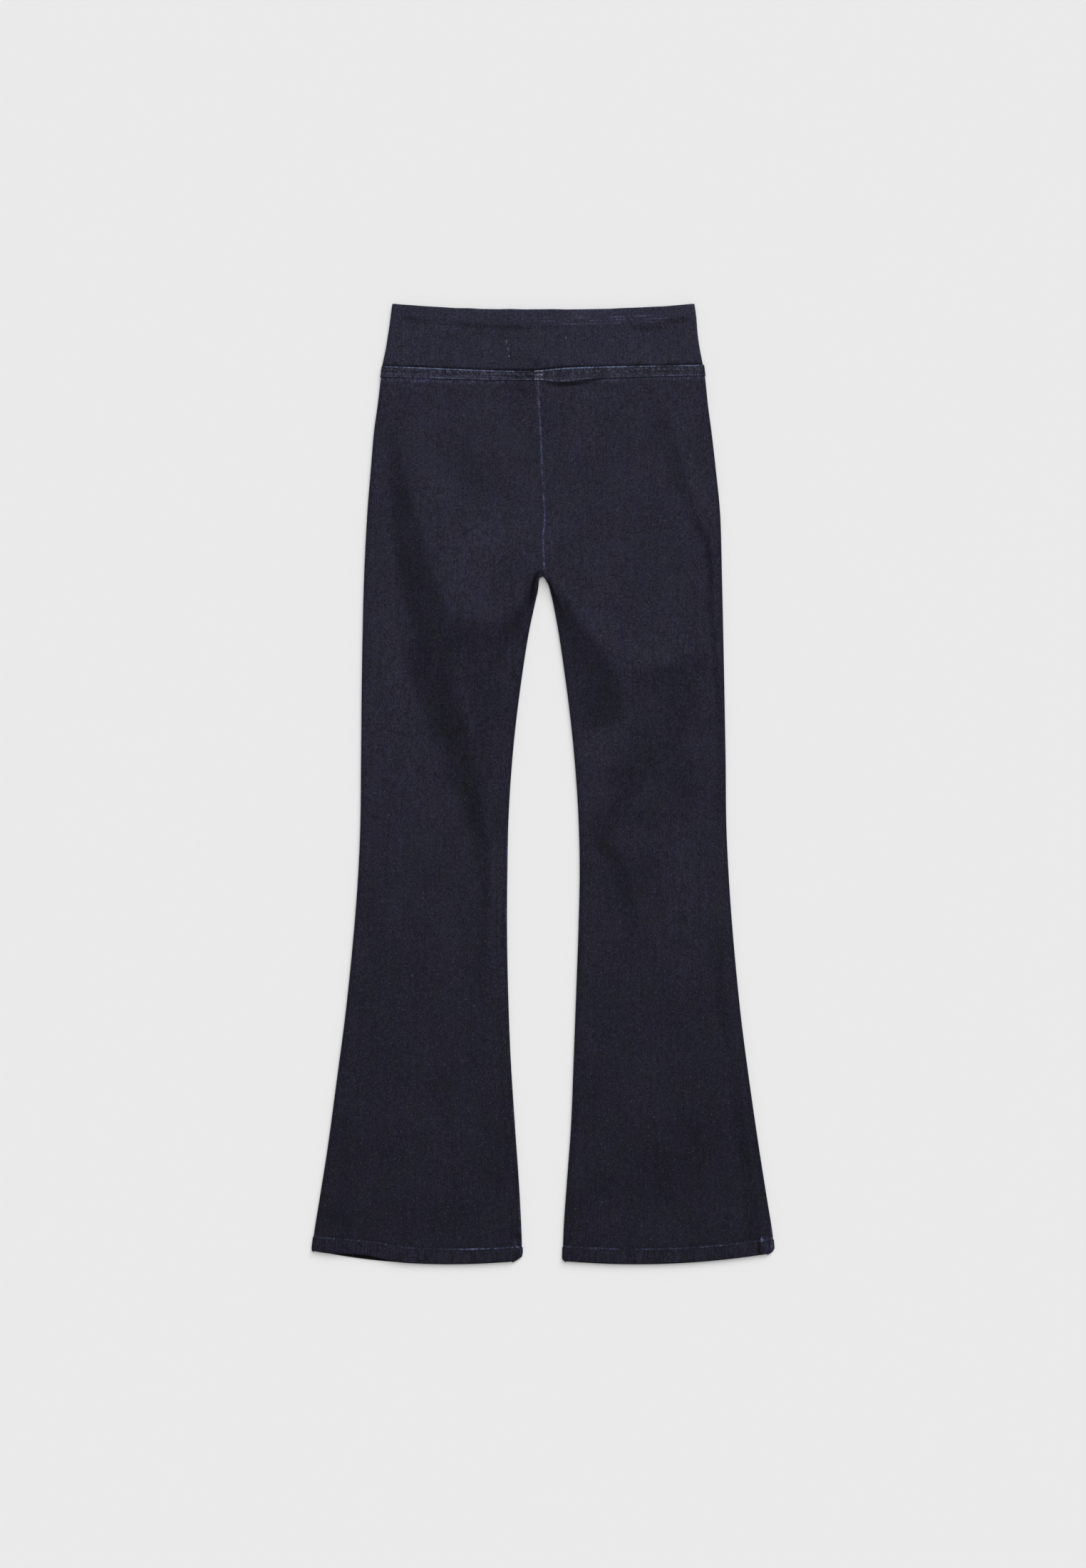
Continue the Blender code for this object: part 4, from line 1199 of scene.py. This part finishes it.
# The elastic's three cords, below the top edge.
CORDS = (10.0, 13.6, 17.4)
BAND_TURN = 1.1
BAND_HEIGHT = 68.0
band_denim = denim(
    "band_denim",
    (0.0205, 0.0209, 0.0342),
    (0.0225, 0.0206, 0.0347),
    (0.0210, 0.0205, 0.0374),
    WORN_BLUE,
    (2.2, 0.7, 0.3),
)
for face_name, front in (("back", False), ("front", True)):
    share, shift, climb = edge_columns(BAND_ROUND, 0.5, 190 if front else 80, 8)[:3]
    turn = np.linspace(math.pi, 0, 9)
    inside = np.linspace(1.0, BAND_TURN / BAND_HEIGHT, 10)[:-1]
    spread = np.linspace(BAND_TURN / BAND_HEIGHT, 0.9, 68 if front else 20)[1:]
    outside = joined(spread, [0.93, 0.955, 0.97, 0.98, 0.99, 1.0])
    turning = BAND_TURN * (1 - np.sin(turn)) / BAND_HEIGHT
    dropping = BAND_TURN * (1 - np.cos(turn))
    part = joined(inside, turning, outside)
    drop = joined(0 * inside + 2 * BAND_TURN, dropping, 0 * outside)
    part = part[:, None] + 0 * share
    drop = drop[:, None] + 0 * share
    facing = 1 if front else -1
    x, down, z, dents = band_points(share, shift, climb, part, drop, facing)
    points = placed(x, down, z)
    on_face = drop < BAND_TURN
    from_top = part * BAND_HEIGHT
    worn = 0.16 * hill(from_top, 1.6) * on_face
    # The cords show through as three fine broken lines, plainest on the right.
    plain = 0.06 + 0.26 * ease((x + 20) / 60) * ease((150 - x) / 40)
    for number, cord_down in enumerate(CORDS):
        lit = np.clip(plain * (1 + 1.6 * ripple(x, 13, 65 + number)), 0, 0.6)
        worn = worn + lit * hill(from_top - cord_down, 0.9) * on_face
    # Painted shade in the band's dents: the elastic's line and its shallow folds.
    tone_and_shade = 1 - 0.44 * ease(-dents / 0.9)
    for shade in BAND_MOTTLE_AND_SHADING:
        tone_and_shade = tone_and_shade * (1 + patched(shade, x, down) / 100)
    # The band's lower edge lies in the shadow of the strip's fold.
    shadow = 0.36 + 0.24 * ripple(x, 20, 64) + 0.30 * hill(x + 12, 32)
    tone_and_shade = tone_and_shade * (1 - shadow * ease((part - 0.955) / 0.03))
    marks = {"tone_and_shade": tone_and_shade, "worn": worn}
    piece = cloth_sheet(f"band_{face_name}", points, facing, marks, band_denim, BAND_CLOTH)
    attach(piece, "root")
    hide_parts(f"waistband_{face_name}")

# A few pale slubs in the band's yarn.
Slub = namedtuple("Slub", "x0 down0 x1 down1")
SLUBS = rows_of(
    Slub,
    (-39.6, 40.5, -39.2, 44.0), (-38.0, 48.6, -37.5, 51.8), (-37.0, 56.4, -36.8, 58.6),
    (25.3, 36.4, 25.5, 38.6),
)
paths = []
for slub in SLUBS:
    part = np.linspace(0, 1, 7)
    height = BAND_INSIDE + 3.05 + 0.25 * np.sin(math.pi * part)
    paths.append(placed(mix(slub.x0, slub.x1, part), mix(slub.down0, slub.down1, part), height))
slub_yarn = spun("slub_yarn", (0.16, 0.16, 0.20), (0.34, 0.34, 0.42))
slubs = thread("band_slubs", paths, 0.30, slub_yarn)


# ---- Surface, light and camera ---------------------------------------------------------
# A plain pale surface under soft light that comes mostly from above and from the waist end.
# The camera looks straight down at the middle, as in the photograph.

SURFACE_REACH = 30
SURFACE_DROP = 0.0002
corners = [(-1, -1), (1, -1), (1, 1), (-1, 1)]
floor_mesh = bpy.data.meshes.new("surface")
floor_mesh.from_pydata(
    [(x * SURFACE_REACH, y * SURFACE_REACH, -SURFACE_DROP) for x, y in corners],
    [],
    [(0, 1, 2, 3)],
)
surface = added("surface", floor_mesh)
pale, wire, shader = new_material("pale_surface")
grey = (0.811, 0.811, 0.811, 1.0)
wire.fill(shader, {"Base Color": grey, "Roughness": 1.0, "Specular IOR Level": 0.0})
floor_mesh.materials.append(pale)

# Each lamp stands at a height above the horizon, turned from the waist end to the right.
Lamp = namedtuple("Lamp", "elevation turn strength softness")
LAMPS = rows_of(
    Lamp,
    (84, 0, 1.22, 30), (52, 20, 1.05, 32), (30, 28, 0.72, 22),
)
for number, lamp in enumerate(LAMPS):
    light = bpy.data.lights.new(f"lamp_{number}", "SUN")
    light.energy = lamp.strength
    light.angle = math.radians(lamp.softness)
    holder = added(f"lamp_{number}", light)
    holder.rotation_euler = (-math.radians(90 - lamp.elevation), 0, -math.radians(lamp.turn))

world = bpy.data.worlds.new("studio")
world.use_nodes = True
sky = {"Color": (1.0, 1.0, 1.0, 1.0), "Strength": 0.25}
Wire(world.node_tree).fill(world.node_tree.nodes["Background"], sky)
bpy.context.scene.world = world
bpy.context.scene.view_settings.view_transform = "Standard"

CAMERA_HEIGHT = 6.0
PICTURE_TALL = 1.716
# The camera stands a hair to the right of the middle, and frames the height of the picture.
CAMERA_X = 0.0004
camera_data = bpy.data.cameras.new("camera")
camera_data.sensor_width = 36.0
camera_data.lens = 36.0 * (CAMERA_HEIGHT - FRONT_TOP * MM) / PICTURE_TALL
camera = added("camera", camera_data)
camera.location = (CAMERA_X, 0.0, CAMERA_HEIGHT)
bpy.context.scene.camera = camera
